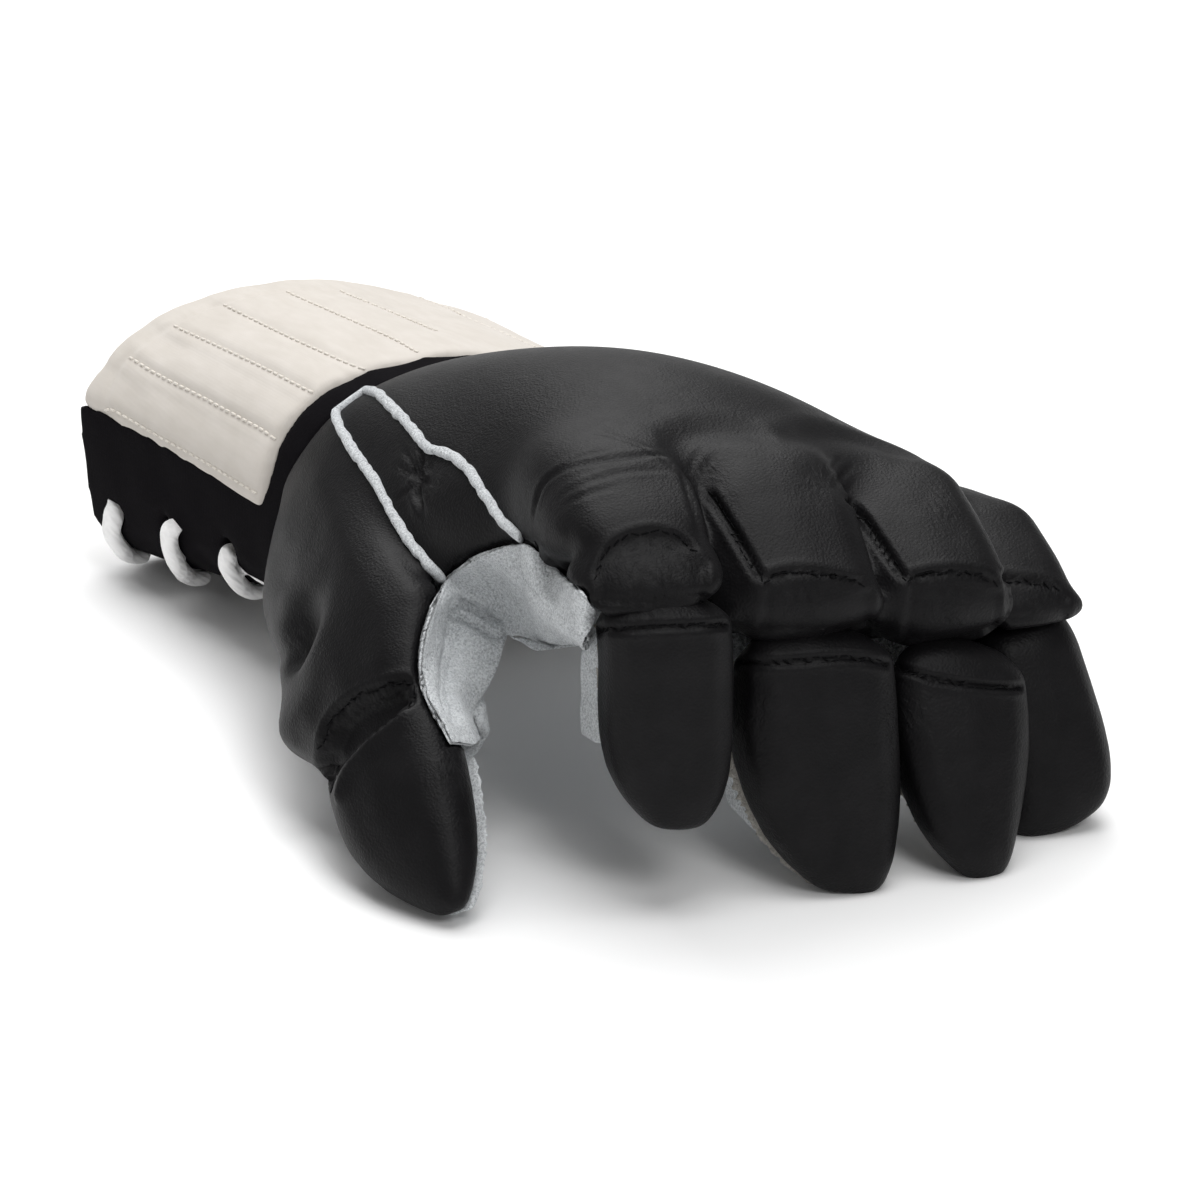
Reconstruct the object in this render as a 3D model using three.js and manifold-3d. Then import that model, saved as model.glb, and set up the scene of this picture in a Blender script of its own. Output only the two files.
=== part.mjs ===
// A padded kempo glove for the left hand, lying palm down on its fingertips and its cuff.
// Millimetres, +Z up. The fingers point to -Y, the cuff opens to +Y, the thumb is at -X.
import * as THREE from "three";
import { mergeVertices } from "three/addons/utils/BufferGeometryUtils.js";
import Module from "manifold-3d";

const wasm = await Module();
wasm.setup();

// Driving dimensions
const GAP = 0.35; // air left between pieces that are sewn together
const SUEDE = 1.8; // palm leather
const CLOTH = 3.6; // black cuff cloth, folded double
const QUILT = 9; // padded cream panel
const WELT = 3.0; // suede piping, across
const LACE = 4.4; // round cotton lace, across
const RIM_Y = 140; // open end of the cuff
const BAND_Y = 52; // the cream panel ends here, and a black band goes on
const WRIST_Y = 40; // the band ends here, and the leather begins
const CHANNELS = 8; // quilted channels across the cream panel
const SLIT = [262, 278]; // the slit under the cuff, in degrees round it

// Materials, one for each real material
const finish = (color, roughness) => new THREE.MeshStandardMaterial({ color, roughness, metalness: 0 });
const leather = finish(0x232325, 0.42);
const suede = finish(0xb9bec2, 0.95);
const canvas = finish(0xe6dfd6, 0.9);
const blackCloth = finish(0x151316, 0.95);
const cotton = finish(0xeeecec, 0.9);

const { clamp, lerp, degToRad: rad, radToDeg } = THREE.MathUtils;
const vector = (x, y, z) => new THREE.Vector3(x, y, z);
const range = (n) => Array.from({ length: n }, (_, i) => i);
const power = (value, p) => Math.sign(value) * Math.abs(value) ** p;
const glove = new THREE.Group();

// The columns of a table at a place from 0 to 1, on a smooth curve through its rows
function between(rows, place) {
  const at = place * (rows.length - 1);
  const i = Math.min(Math.floor(at), rows.length - 2);
  const t = at - i;
  const weight = [3 * t * t - 2 * t ** 3, t ** 3 - 2 * t * t + t, t ** 3 - t * t];
  const row = {};
  for (const key of Object.keys(rows[0])) {
    const [a, b, c, d] = [i - 1, i, i + 1, i + 2].map((k) => rows[clamp(k, 0, rows.length - 1)][key]);
    row[key] = b + (c - b) * weight[0] + 0.5 * (c - a) * weight[1] + 0.5 * (d - b) * weight[2];
  }
  return row;
}

const along = (rows, steps) => range(steps + 1).map((i) => between(rows, i / steps));

const middleOf = (ring) => ring.reduce((sum, p) => sum.add(p), vector(0, 0, 0)).divideScalar(ring.length);

// The rings with both ends moved outward
function lengthened(rings, grow) {
  for (const [end, next] of [
    [0, 1],
    [rings.length - 1, rings.length - 2],
  ]) {
    const way = middleOf(rings[end]).sub(middleOf(rings[next])).setLength(grow);
    rings[end].forEach((p) => p.add(way));
  }
  return rings;
}

// Triangles that close a ring: a fan over a round one, or a ladder over a thin one, whose points run
// along its outer face and back along its inner face
const fan = (n) => range(n - 2).flatMap((k) => [0, k + 1, k + 2]);
const ladder = (n) =>
  range(n / 2 - 1).flatMap((k) => [k, k + 1, n - 2 - k, k, n - 2 - k, n - 1 - k]);

// Faces between rings of equal point counts, turned to face out. A loop of rings has no ends.
function skin(rings, { loop = false, cap = fan } = {}) {
  const n = rings[0].length;
  const index = [];
  for (const r of range(loop ? rings.length : rings.length - 1)) {
    const next = (r + 1) % rings.length;
    for (const k of range(n)) {
      const side = (k + 1) % n;
      index.push(r * n + k, r * n + side, next * n + side, r * n + k, next * n + side, next * n + k);
    }
  }
  if (!loop) {
    const last = (rings.length - 1) * n;
    index.push(...cap(n).reverse(), ...cap(n).map((k) => last + k));
  }
  return facingOut(new THREE.BufferGeometry().setFromPoints(rings.flat()).setIndex(index));
}

function facingOut(geometry) {
  const place = geometry.attributes.position;
  const index = geometry.index.array;
  const [a, b, c] = [vector(), vector(), vector()];
  let volume = 0;
  for (let i = 0; i < index.length; i += 3) {
    a.fromBufferAttribute(place, index[i]);
    b.fromBufferAttribute(place, index[i + 1]);
    c.fromBufferAttribute(place, index[i + 2]);
    volume += a.dot(b.cross(c));
  }
  if (volume < 0) index.reverse();
  return geometry;
}

// A closed mesh as a solid that can be cut
function solid(geometry) {
  const merged = mergeVertices(geometry, 1e-4);
  return new wasm.Manifold(
    new wasm.Mesh({
      numProp: 3,
      vertProperties: new Float32Array(merged.attributes.position.array),
      triVerts: new Uint32Array(merged.index.array),
    }),
  );
}

// The largest body of a cut solid as a mesh, without the crumbs of the cut
function shapeOf(cut) {
  const [body] = cut.decompose().sort((a, b) => b.volume() - a.volume());
  const mesh = body.getMesh();
  return new THREE.BufferGeometry()
    .setAttribute("position", new THREE.BufferAttribute(new Float32Array(mesh.vertProperties), 3))
    .setIndex(new THREE.BufferAttribute(new Uint32Array(mesh.triVerts), 1));
}

function add(name, body, material) {
  const geometry = shapeOf(body);
  geometry.computeVertexNormals();
  const mesh = new THREE.Mesh(geometry, material);
  mesh.name = name;
  glove.add(mesh);
}

const cutBy = (body, cutters) => cutters.reduce((left, cutter) => left.subtract(cutter), body);

// The frame of a section. yaw turns the way ahead towards the thumb, tilt is the rise of the outer
// face (90 is up, 0 ahead), roll turns the outer face to the thumb's side.
function frameOf(row) {
  const [yaw, tilt, roll] = [row.yaw, row.tilt, row.roll ?? 0].map(rad);
  const ahead = vector(-Math.sin(yaw), -Math.cos(yaw), 0);
  const right = vector(Math.cos(yaw), -Math.sin(yaw), 0);
  const face = ahead.multiplyScalar(Math.cos(tilt)).add(vector(0, 0, Math.sin(tilt)));
  const across = right.clone().multiplyScalar(Math.cos(roll)).addScaledVector(face, Math.sin(roll));
  const out = face.clone().multiplyScalar(Math.cos(roll)).addScaledVector(right, -Math.sin(roll));
  return { across, out };
}

function oval(centre, frame, half, rise, drop, square, sides) {
  return range(sides).map((k) => {
    const a = (2 * Math.PI * k) / sides;
    const height = Math.sin(a) > 0 ? rise : drop;
    return centre
      .clone()
      .addScaledVector(frame.across, half * power(Math.cos(a), square))
      .addScaledVector(frame.out, height * power(Math.sin(a), square));
  });
}

// A stuffed pad. x, y, z is its crown, half its half width, deep its thickness, flat at the back.
function pad(rows, { steps = 9, sides = 12, square = 0.7, belly = 0.3, grow = 0 } = {}) {
  const rings = along(rows, steps).map((row) => {
    const frame = frameOf(row);
    const rise = row.deep * (1 - belly);
    const centre = vector(row.x, row.y, row.z).addScaledVector(frame.out, -rise);
    return oval(centre, frame, row.half + grow, rise + grow, row.deep * belly + grow, square, sides);
  });
  return solid(skin(lengthened(rings, grow)));
}

// A tube of sheet leather, open at both ends
function sleeve(rows, steps) {
  const ring = (row, inset) => {
    const deep = row.deep - inset;
    return oval(vector(row.x, row.y, row.z), frameOf(row), row.half - inset, deep, deep, 0.8, 10);
  };
  const fine = along(rows, steps);
  const outside = fine.map((row) => ring(row, 0));
  const inside = fine.map((row) => ring(row, SUEDE)).reverse();
  return solid(skin([...outside, ...inside], { loop: true }));
}

// A point of the wall round the arm and the hand, inset from its outer face.
// Angles run from the little finger's side (0) over the back (90) to the thumb's side (180).
// thumbSide, farSide and base say how round the quarters are: 1 is an ellipse, less is squarer.
function wallPoint(row, degrees, inset) {
  const [across, up] = [Math.cos(rad(degrees)), Math.sin(rad(degrees))];
  const reach = (across > 0 ? row.right : row.left) - inset;
  const height = (up > 0 ? row.rise : row.drop) - inset;
  const top = across > 0 ? row.farSide : row.thumbSide;
  const round = up > 0 ? top : row.base;
  return vector(row.x + reach * power(across, round), row.y, row.z + height * power(up, round));
}

// A wall over a stretch of that ring: from and to in degrees, thick in the middle, edge at its sides
function wall(rows, { steps, arc, ripple = () => 0, grow = 0 }) {
  const rings = along(rows, steps).map((row) => {
    const place = (k, inset) => wallPoint(row, lerp(row.from - grow, row.to + grow, k / arc), inset);
    const thick = (k) => lerp(row.edge, row.thick, Math.abs(Math.sin((Math.PI * k) / arc)) ** 0.7);
    const outer = range(arc + 1).map((k) => place(k, -grow - ripple(k / arc)));
    const inner = range(arc + 1).map((k) => place(k, thick(k) + grow));
    return [...outer, ...inner.reverse()];
  });
  return solid(skin(lengthened(rings, grow), { cap: ladder }));
}

// A sheet through a grid of points, half its thickness to each side
function sheet(grid, thick, grow = 0) {
  lengthened(grid, grow);
  for (const row of grid) {
    lengthened(row.map((p) => [p]), grow);
  }
  const at = (i, j) => {
    const row = grid[clamp(i, 0, grid.length - 1)];
    return row[clamp(j, 0, row.length - 1)];
  };
  const rings = grid.map((row, i) => {
    const faces = row.map((p, j) => {
      const along = at(i + 1, j).clone().sub(at(i - 1, j));
      const across = at(i, j + 1).clone().sub(at(i, j - 1));
      return along.cross(across).setLength(thick / 2 + grow);
    });
    const outer = row.map((p, j) => p.clone().add(faces[j]));
    const inner = row.map((p, j) => p.clone().sub(faces[j]));
    return [...outer, ...inner.reverse()];
  });
  return solid(skin(rings, { cap: ladder }));
}

// A round cord through points
function cord(points, across, { steps, sides = 6 }) {
  const path = new THREE.CatmullRomCurve3(points);
  const section = new THREE.Shape(
    range(sides).map((k) => {
      const a = (2 * Math.PI * k) / sides;
      return new THREE.Vector2(Math.cos(a), Math.sin(a)).multiplyScalar(across / 2);
    }),
  );
  return extruded(section, { steps, extrudePath: path, bevelEnabled: false });
}

// An outline drawn out along a path or a depth, as a solid
function extruded(outline, options) {
  const geometry = new THREE.ExtrudeGeometry(outline, options);
  geometry.deleteAttribute("normal");
  geometry.deleteAttribute("uv");
  return solid(facingOut(mergeVertices(geometry, 1e-3)));
}

// The ring of the cuff from its rim to the wrist. to is the lower edge of the cream panel.
const CUFF = [
  { y: RIM_Y, x: -14, z: 28, left: 46.5, right: 76, rise: 37, drop: 24.5, to: 164 },
  { y: 110, x: -13, z: 31, left: 44.5, right: 72, rise: 36.5, drop: 24.5, to: 166 },
  { y: 81, x: -12, z: 34, left: 42.5, right: 69, rise: 36, drop: 22.5, to: 168.5 },
  { y: BAND_Y, x: -11, z: 37, left: 42, right: 66, rise: 35, drop: 21, to: 171 },
].map((row) => ({ ...row, from: 10, thick: QUILT, edge: 6, thumbSide: 0.8, farSide: 1.15, base: 0.6 }));
const BAND_END = { y: WRIST_Y + GAP, x: -11, z: 38, left: 41, right: 64.5, rise: 34, drop: 21 };
const CLOTH_WALL = { from: SLIT[1] - 360, to: SLIT[0], thick: CLOTH, edge: CLOTH };
const BAND = [...CUFF, { ...CUFF[3], ...BAND_END }].map((row) => ({ ...row, ...CLOTH_WALL }));

// Each channel of the quilting stands up between two rows of stitches
const channel = (place) => 0.9 * Math.abs(Math.sin(Math.PI * CHANNELS * place)) ** 0.6;
const quilt = (grow) => wall(CUFF, { steps: 4, arc: 3 * CHANNELS, ripple: channel, grow });
const band = () => wall(BAND, { steps: 5, arc: 22 });

// The ring of the hand from the wrist to the knuckles. to is the edge of the back at the thumb's side.
const HAND = [
  { y: WRIST_Y, x: -11, z: 38, left: 43.5, right: 66, rise: 36, drop: 22, thick: 9, thumbSide: 0.85, to: 166 },
  { y: 24, x: -10, z: 41, left: 45, right: 67, rise: 40, drop: 16, thick: 13, thumbSide: 0.95, to: 166 },
  { y: 4, x: -8, z: 43, left: 46, right: 68, rise: 45, drop: 11, thick: 17, thumbSide: 1.05, to: 166 },
  { y: -18, x: -5, z: 44, left: 48, right: 69, rise: 50, drop: 7, thick: 19, thumbSide: 1.1, to: 163 },
  { y: -42, x: -1, z: 45, left: 47.5, right: 68.5, rise: 51, drop: 4, thick: 19, thumbSide: 0.95, to: 158 },
  { y: -62, x: 2, z: 45, left: 48, right: 69, rise: 47.5, drop: 3, thick: 16, thumbSide: 0.85, to: 158 },
  { y: -80, x: 5, z: 43.5, left: 50, right: 67, rise: 37, drop: 2, thick: 9.7, thumbSide: 0.8, to: 151 },
].map((row) => ({ ...row, from: 2, edge: 7, farSide: 1.26, base: 0.7 }));
const handBack = (grow) => wall(HAND, { steps: 10, arc: 16, grow });

const PALM = HAND.slice(0, 6).map((row) => ({ ...row, from: 215, to: 357, thick: SUEDE, edge: SUEDE }));
const palm = (grow) => wall(PALM, { steps: 7, arc: 11, grow });

// Fingers. x, y, z is the front edge of the pad over the first bone, on its crown. The pad runs back
// from there by back and climbs by climb. roll is the height of the crescent pad under that edge, tip
// the length of the fingertip pad, lean how far that one's end stands ahead, drift how far to the side.
const FINGERS = [
  { name: "index", x: -34, y: -100, z: 82, yaw: 16, back: 34, climb: 12, half: 15.5, ahead: 12, roll: 14, tip: 48 },
  { name: "middle", x: 0, y: -112, z: 70, yaw: 10, back: 36, climb: 20, half: 17, ahead: 1, roll: 14, tip: 56 },
  { name: "ring", x: 34.2, y: -112, z: 64, yaw: 7, back: 38, climb: 16, half: 16, ahead: 1, roll: 15, tip: 49 },
  { name: "little", x: 59.5, y: -103, z: 53, yaw: 5, back: 30, climb: 13, half: 14, ahead: 2, roll: 9, tip: 44 },
];
const LEAN = { index: 1, middle: 7, ring: 14, little: 9 };
const DRIFT = { index: 0, middle: 3, ring: 3, little: -4 };
const TIP_SIDE = { index: 3.8, middle: 3.8, ring: 3.4, little: 6.4 };

// A section of a finger: how far ahead of its edge, how high, and to which side
function onFinger(finger, ahead, z, rest) {
  const yaw = rad(finger.yaw);
  const side = rest.side ?? 0;
  return {
    x: finger.x - ahead * Math.sin(yaw) + side * Math.cos(yaw),
    y: finger.y - ahead * Math.cos(yaw) - side * Math.sin(yaw),
    z,
    yaw: finger.yaw,
    tilt: rest.tilt,
    half: rest.half,
    deep: rest.deep,
  };
}

function rootRows(finger) {
  const { z, back, climb, half } = finger;
  const slope = radToDeg(Math.atan2(climb, back));
  return [
    onFinger(finger, -back - 8, z + climb - 7, { tilt: 90, half: half - 3, deep: 9 }),
    onFinger(finger, -back, z + climb - 0.5, { tilt: 95 - slope, half: half - 0.5, deep: 16 }),
    onFinger(finger, -back * 0.5, z + climb * 0.62, { tilt: 88 - slope, half, deep: 19 }),
    onFinger(finger, -5, z + 3.2, { tilt: 80 - slope, half: half - 0.3, deep: 17 }),
    onFinger(finger, 0, z - 0.5, { tilt: 60 - slope, half: half - 1.5, deep: 12 }),
  ];
}

function knuckleRows(finger) {
  const { z, roll, half, ahead } = finger;
  const row = (reach, down, tilt, width, side) =>
    onFinger(finger, reach, z - down * roll, { tilt, half: half * width, deep: 0.6 * roll + 3, side });
  return [
    row(ahead * 0.1 - 1.5, 0.06, 45, 0.9, 1),
    row(ahead * 0.35 + 0.6, 0.3, 25, 0.96, 1.3),
    row(ahead * 0.8 + 0.2, 0.68, 0, 0.96, 2),
    row(ahead * 0.9 - 2.5, 1, -25, 0.86, 2.5),
  ];
}

function tipRows(finger) {
  const { z, roll, tip, half, ahead } = finger;
  const [lean, drift, aside] = [LEAN, DRIFT, TIP_SIDE].map((column) => column[finger.name]);
  const top = z - roll - 0.6;
  const row = (reach, down, tilt, width, deep, drifted = 0) => {
    const side = aside + drifted * drift;
    return onFinger(finger, ahead + reach, top - down * tip, { tilt, half: half * width, deep, side });
  };
  return [
    row(-8, -0.01, 60, 0.7, 5),
    row(-2.5, 0.03, 30, 0.94, 12),
    row(0.5, 0.12, 8, 1, 16),
    row(0.5 + 0.5 * lean, 0.45, 6, 1.0, 18, 0.3),
    row(0.5 + 0.85 * lean, 0.72, 5, 0.88, 16, 0.6),
    row(0.5 + lean, 0.9, 3, 0.62, 12, 0.9),
    row(lean - 2, 1, 0, 0.34, 6, 1.1),
  ];
}

// The same section, moved straight back from its outer face
function behind(row, distance, changes) {
  const { out } = frameOf(row);
  const shift = (axis) => row[axis] - out[axis] * distance;
  return { ...row, x: shift("x"), y: shift("y"), z: shift("z"), ...changes };
}

// Suede backing of a fingertip pad, behind its lower sections
function backing(rows, grow = 0) {
  const sections = rows.slice(2).map((row) => {
    return behind(row, row.deep + GAP, { half: row.half - 0.3, deep: SUEDE });
  });
  return pad(sections, { steps: 5, belly: 0.5, sides: 8, grow });
}

const SLEEVE_SIDE = { index: 3, middle: 0.5, ring: -1.5, little: 1 };
const SLEEVE_END = { index: 0.78, middle: 0.7, ring: 0.66, little: 0.62 };

function sleeveRows(finger) {
  const { z, back, climb, roll, half, ahead, tip, name } = finger;
  const top = z - roll;
  const row = (reach, height, tilt, side) =>
    onFinger(finger, reach, height, { tilt, half: half - 2, deep: 10, side: SLEEVE_SIDE[name] + side });
  return [
    row(-back - 2, z + climb - 34, 80, -1),
    row(-back + 6, z + climb - 37.5, 62, 0),
    row(ahead - 29.5, top - 8, 32, 0.5),
    row(ahead - 29.5, top - 0.38 * tip, 8, 0.5),
    row(ahead - 28, top - SLEEVE_END[name] * tip, 6, 0),
  ];
}

// The thumb, from the wrist to its joint, and from there to its tip
const THUMB_BASE = [
  { x: -50, y: WRIST_Y, z: 50, yaw: 0, tilt: 90, roll: 70, half: 22, deep: 7 },
  { x: -58, y: 26, z: 49, yaw: 10, tilt: 88, roll: 66, half: 22, deep: 11 },
  { x: -65, y: 4, z: 46.5, yaw: 14, tilt: 84, roll: 62, half: 22, deep: 14 },
  { x: -72, y: -18, z: 42.5, yaw: 14, tilt: 78, roll: 57, half: 23, deep: 16 },
  { x: -75.5, y: -34, z: 39, yaw: 12, tilt: 74, roll: 53, half: 25.5, deep: 16 },
  { x: -78.5, y: -47, z: 32.5, yaw: 8, tilt: 66, roll: 60, half: 18.5, deep: 15 },
  { x: -79, y: -54.5, z: 29, yaw: 6, tilt: 58, roll: 56, half: 17, deep: 14 },
];
const THUMB_TIP = [
  { x: -78, y: -56, z: 32, yaw: 4, tilt: 52, roll: 56, half: 13.5, deep: 8 },
  { x: -80.5, y: -59.5, z: 29.5, yaw: 4, tilt: 50, roll: 56, half: 16.5, deep: 14 },
  { x: -83, y: -68, z: 24, yaw: 4, tilt: 48, roll: 56, half: 17, deep: 16 },
  { x: -84, y: -78, z: 16.5, yaw: 4, tilt: 46, roll: 56, half: 15.5, deep: 15 },
  { x: -82.5, y: -88.5, z: 9, yaw: 4, tilt: 42, roll: 56, half: 10.5, deep: 11 },
  { x: -79.5, y: -96, z: 3.3, yaw: 4, tilt: 36, roll: 56, half: 3.5, deep: 4.5 },
];
const THUMB_SLEEVE = THUMB_BASE.slice(2).map((row) =>
  behind(row, row.deep + GAP + 10, { half: 13.5, deep: 9 }),
);

// Web between thumb and index finger: its sewn edge from the thumb's side round to the index finger's,
// and its inner edge at the palm
const WEB = [
  { ex: -61, ey: -70, ez: 30, ix: -54, iy: -60, iz: 23.5, mid: 1.5 },
  { ex: -61, ey: -56, ez: 34, ix: -47, iy: -50, iz: 29, mid: 2 },
  { ex: -57, ey: -40, ez: 39, ix: -42, iy: -47, iz: 36.5, mid: 1.5 },
  { ex: -49, ey: -33, ez: 46.5, ix: -41, iy: -46, iz: 41, mid: 0 },
  { ex: -43.5, ey: -42, ez: 60, ix: -40, iy: -49, iz: 43, mid: -3 },
  { ex: -42.5, ey: -60, ez: 67.5, ix: -36, iy: -57, iz: 43, mid: 3 },
  { ex: -44.5, ey: -82, ez: 67, ix: -34, iy: -68, iz: 46, mid: 4 },
  { ex: -47, ey: -98, ez: 63, ix: -39, iy: -84, iz: 52, mid: 2 },
];

function web(grow) {
  const grid = along(WEB, 12).map((row) => {
    const edge = vector(row.ex, row.ey, row.ez);
    const inner = vector(row.ix, row.iy, row.iz);
    return range(5).map((k) => {
      const point = edge.clone().lerp(inner, k / 4);
      point.x -= row.mid * Math.sin((Math.PI * k) / 4);
      return point;
    });
  });
  return sheet(grid, SUEDE, grow);
}

// The panel between thumb and back of the hand, seen from above: its edge at the thumb, its edge at the
// hand, from the web between them to its round back end
const PANEL = [
  { thumbX: -52, thumbY: -33.5, handX: -42, handY: -59 },
  { thumbX: -52.5, thumbY: -18, handX: -41.5, handY: -46 },
  { thumbX: -51.5, thumbY: -6, handX: -41, handY: -30 },
  { thumbX: -49, thumbY: 6, handX: -40, handY: -10 },
  { thumbX: -45, thumbY: 18, handX: -37.5, handY: 10 },
  { thumbX: -41.5, thumbY: 30, handX: -35, handY: 26 },
];
const PANEL_END = { x: -37.5, y: 33 };
const PANEL_DEEP = 6;
const PIPING_STEPS = 28;

const panelOutline = () => [
  ...PANEL.map((row) => [row.thumbX, row.thumbY]),
  [PANEL_END.x, PANEL_END.y],
  ...PANEL.map((row) => [row.handX, row.handY]).reverse(),
];

// Everything above and below the panel, with its outline moved outward
function panelRoom(route, grow) {
  const path = new THREE.CatmullRomCurve3(route).getSpacedPoints(PIPING_STEPS);
  const turned = path.map((p, i) => {
    const step = (path[i + 1] ?? p).clone().sub(path[i - 1] ?? p);
    const ahead = new THREE.Vector2(step.x, step.y).setLength(grow);
    const further = i === 0 ? -1 : Number(i === path.length - 1);
    return new THREE.Vector2(p.x - ahead.y + further * ahead.x, p.y + ahead.x + further * ahead.y);
  });
  return extruded(new THREE.Shape(turned), { depth: 90, bevelEnabled: false }).translate(0, 0, 30);
}

// The places on the leather straight below points seen from above
function onLeather(leathers, outline) {
  const meshes = leathers.map((body) => new THREE.Mesh(shapeOf(body), leather));
  const caster = new THREE.Raycaster();
  return outline.map(([x, y]) => {
    caster.set(vector(x, y, 200), vector(0, 0, -1));
    const [hit] = caster.intersectObjects(meshes);
    return hit.point.addScaledVector(hit.face.normal, 0.35 * WELT);
  });
}

// The panel hangs between the two sides of its piping
function webPanel(route) {
  const rows = PANEL.map((_, i) => {
    const [a, b] = [route[i], route[route.length - 1 - i]];
    return { ax: a.x, ay: a.y, az: a.z, bx: b.x, by: b.y, bz: b.z };
  });
  const grid = along(rows, 8).map((row) => {
    const thumbSide = vector(row.ax, row.ay, row.az - PANEL_DEEP / 2);
    const handSide = vector(row.bx, row.by, row.bz - PANEL_DEEP / 2);
    return range(5).map((k) => thumbSide.clone().lerp(handSide, k / 4));
  });
  return sheet(grid, PANEL_DEEP);
}

// The lace joins three pairs of eyelets under the cuff, and goes on inside from each pair to the next.
// y is the eyelet's place along the cuff, left and right are its degrees round it.
const EYELETS = [
  { left: 195, leftY: 126, right: 296, rightY: 113 },
  { left: 194, leftY: 101, right: 296, rightY: 88 },
  { left: 195, leftY: 72, right: 296, rightY: 59 },
];
const LACE_LIFT = 0.8; // the lace lies this far off the cloth
const TURN = { left: 12, right: -5 }; // degrees that its turn through an eyelet takes

// The row of a table at a given y
function rowAt(rows, y) {
  let [low, high] = [0, 1];
  for (const _ of range(30)) {
    const middle = (low + high) / 2;
    if (between(rows, middle).y > y) low = middle;
    else high = middle;
  }
  return between(rows, low);
}

function laceRoute() {
  const reach = (CLOTH + LACE) / 2 + LACE_LIFT;
  const at = (y, degrees, off) => wallPoint(rowAt(BAND, y), degrees, CLOTH / 2 + off);
  const turn = (y, degrees, room) =>
    [75, 38, 0, -38, -75].map((a) => at(y, degrees + room * (1 - Math.cos(rad(a))), reach * Math.sin(rad(a))));
  return EYELETS.flatMap(({ left, leftY, right, rightY }, i) => {
    const under = [0.2, 0.4, 0.6, 0.8].map((t) => at(lerp(leftY, rightY, t), lerp(left, right, t), -reach));
    const route = [...turn(leftY, left, TURN.left), ...under, ...turn(rightY, right, TURN.right).reverse()];
    return i % 2 ? route.reverse() : route;
  });
}
const lace = (grow) => cord(laceRoute(), LACE + 2 * grow, { steps: 90 });

// Pads of the thumb and the fingers
const thumbBase = (grow) => pad(THUMB_BASE, { grow });
const rootPad = (finger, grow) => pad(rootRows(finger), { square: 0.6, grow });
const knucklePad = (finger) => pad(knuckleRows(finger), { steps: 6 });
const tipPad = (finger, grow) => pad(tipRows(finger), { steps: 10, grow });
const tipBacking = (finger, grow) => backing(tipRows(finger), grow);

const route = onLeather([handBack(0), thumbBase(0)], panelOutline());
const piping = cord(route, WELT, { steps: PIPING_STEPS });
const panelHole = panelRoom(route, WELT / 2 + 1.5 * GAP);

add("cuff_quilt", quilt(0), canvas);
add("cuff_cloth", cutBy(band(), [quilt(GAP), lace(1.5 * GAP)]), blackCloth);
add("lace", lace(0), cotton);
add("hand_back", cutBy(handBack(0), [panelHole]), leather);
add("palm", cutBy(palm(0), [thumbBase(GAP), web(GAP)]), suede);
add("thumb_base_pad", cutBy(thumbBase(0), [handBack(GAP), panelHole]), leather);
add("web_panel", cutBy(webPanel(route).intersect(panelRoom(route, -WELT / 2 - GAP)), [web(GAP)]), leather);
add("piping", piping, suede);
add("thumb_tip_pad", cutBy(pad(THUMB_TIP), [thumbBase(GAP)]), leather);
add("thumb_backing", cutBy(backing(THUMB_TIP), [thumbBase(GAP)]), suede);
add("web", cutBy(web(0), [handBack(GAP), thumbBase(GAP)]), suede);
add("thumb_sleeve", cutBy(sleeve(THUMB_SLEEVE, 4), [palm(GAP), web(GAP), thumbBase(GAP)]), suede);

const rooms = FINGERS.map((finger) => [rootPad(finger, GAP), tipPad(finger, GAP), tipBacking(finger, GAP)]);
FINGERS.forEach((finger, i) => {
  const [root, tip] = rooms[i];
  const before = rooms[i - 1] ?? [];
  const around = [handBack(GAP), web(GAP), ...rooms.flat()];
  add(finger.name + "_root_pad", cutBy(rootPad(finger, 0), [handBack(GAP), ...before]), leather);
  add(finger.name + "_knuckle_pad", cutBy(knucklePad(finger), [root, tip, ...before]), leather);
  add(finger.name + "_tip_pad", cutBy(tipPad(finger, 0), before), leather);
  add(finger.name + "_backing", cutBy(tipBacking(finger, 0), before), suede);
  add(finger.name + "_sleeve", cutBy(sleeve(sleeveRows(finger), 6), around), suede);
});

// The middle of the footprint is the origin, and the glove stands on z = 0
const size = new THREE.Box3().setFromObject(glove);
const middle = size.getCenter(vector());
for (const mesh of glove.children) {
  mesh.geometry.translate(-middle.x, -middle.y, -size.min.z);
}

export default glove;
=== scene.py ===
import math

import bmesh
import bpy
import numpy as np
from mathutils import Matrix, Vector, noise
from mathutils.bvhtree import BVHTree


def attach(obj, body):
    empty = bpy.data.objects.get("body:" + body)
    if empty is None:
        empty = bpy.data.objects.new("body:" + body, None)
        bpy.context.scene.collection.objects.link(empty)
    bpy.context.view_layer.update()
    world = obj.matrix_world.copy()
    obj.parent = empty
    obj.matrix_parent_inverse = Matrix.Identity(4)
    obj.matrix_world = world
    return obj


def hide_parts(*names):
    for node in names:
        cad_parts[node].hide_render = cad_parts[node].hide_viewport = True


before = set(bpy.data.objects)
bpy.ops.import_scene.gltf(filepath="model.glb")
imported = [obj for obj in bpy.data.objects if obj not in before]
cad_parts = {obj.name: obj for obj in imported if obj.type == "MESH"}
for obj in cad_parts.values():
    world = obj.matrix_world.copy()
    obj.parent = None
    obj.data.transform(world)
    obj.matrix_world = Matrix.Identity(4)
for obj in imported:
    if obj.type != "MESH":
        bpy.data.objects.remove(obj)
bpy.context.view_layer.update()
MM = 0.001
FINGERS = ("index", "middle", "ring", "little")

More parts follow.
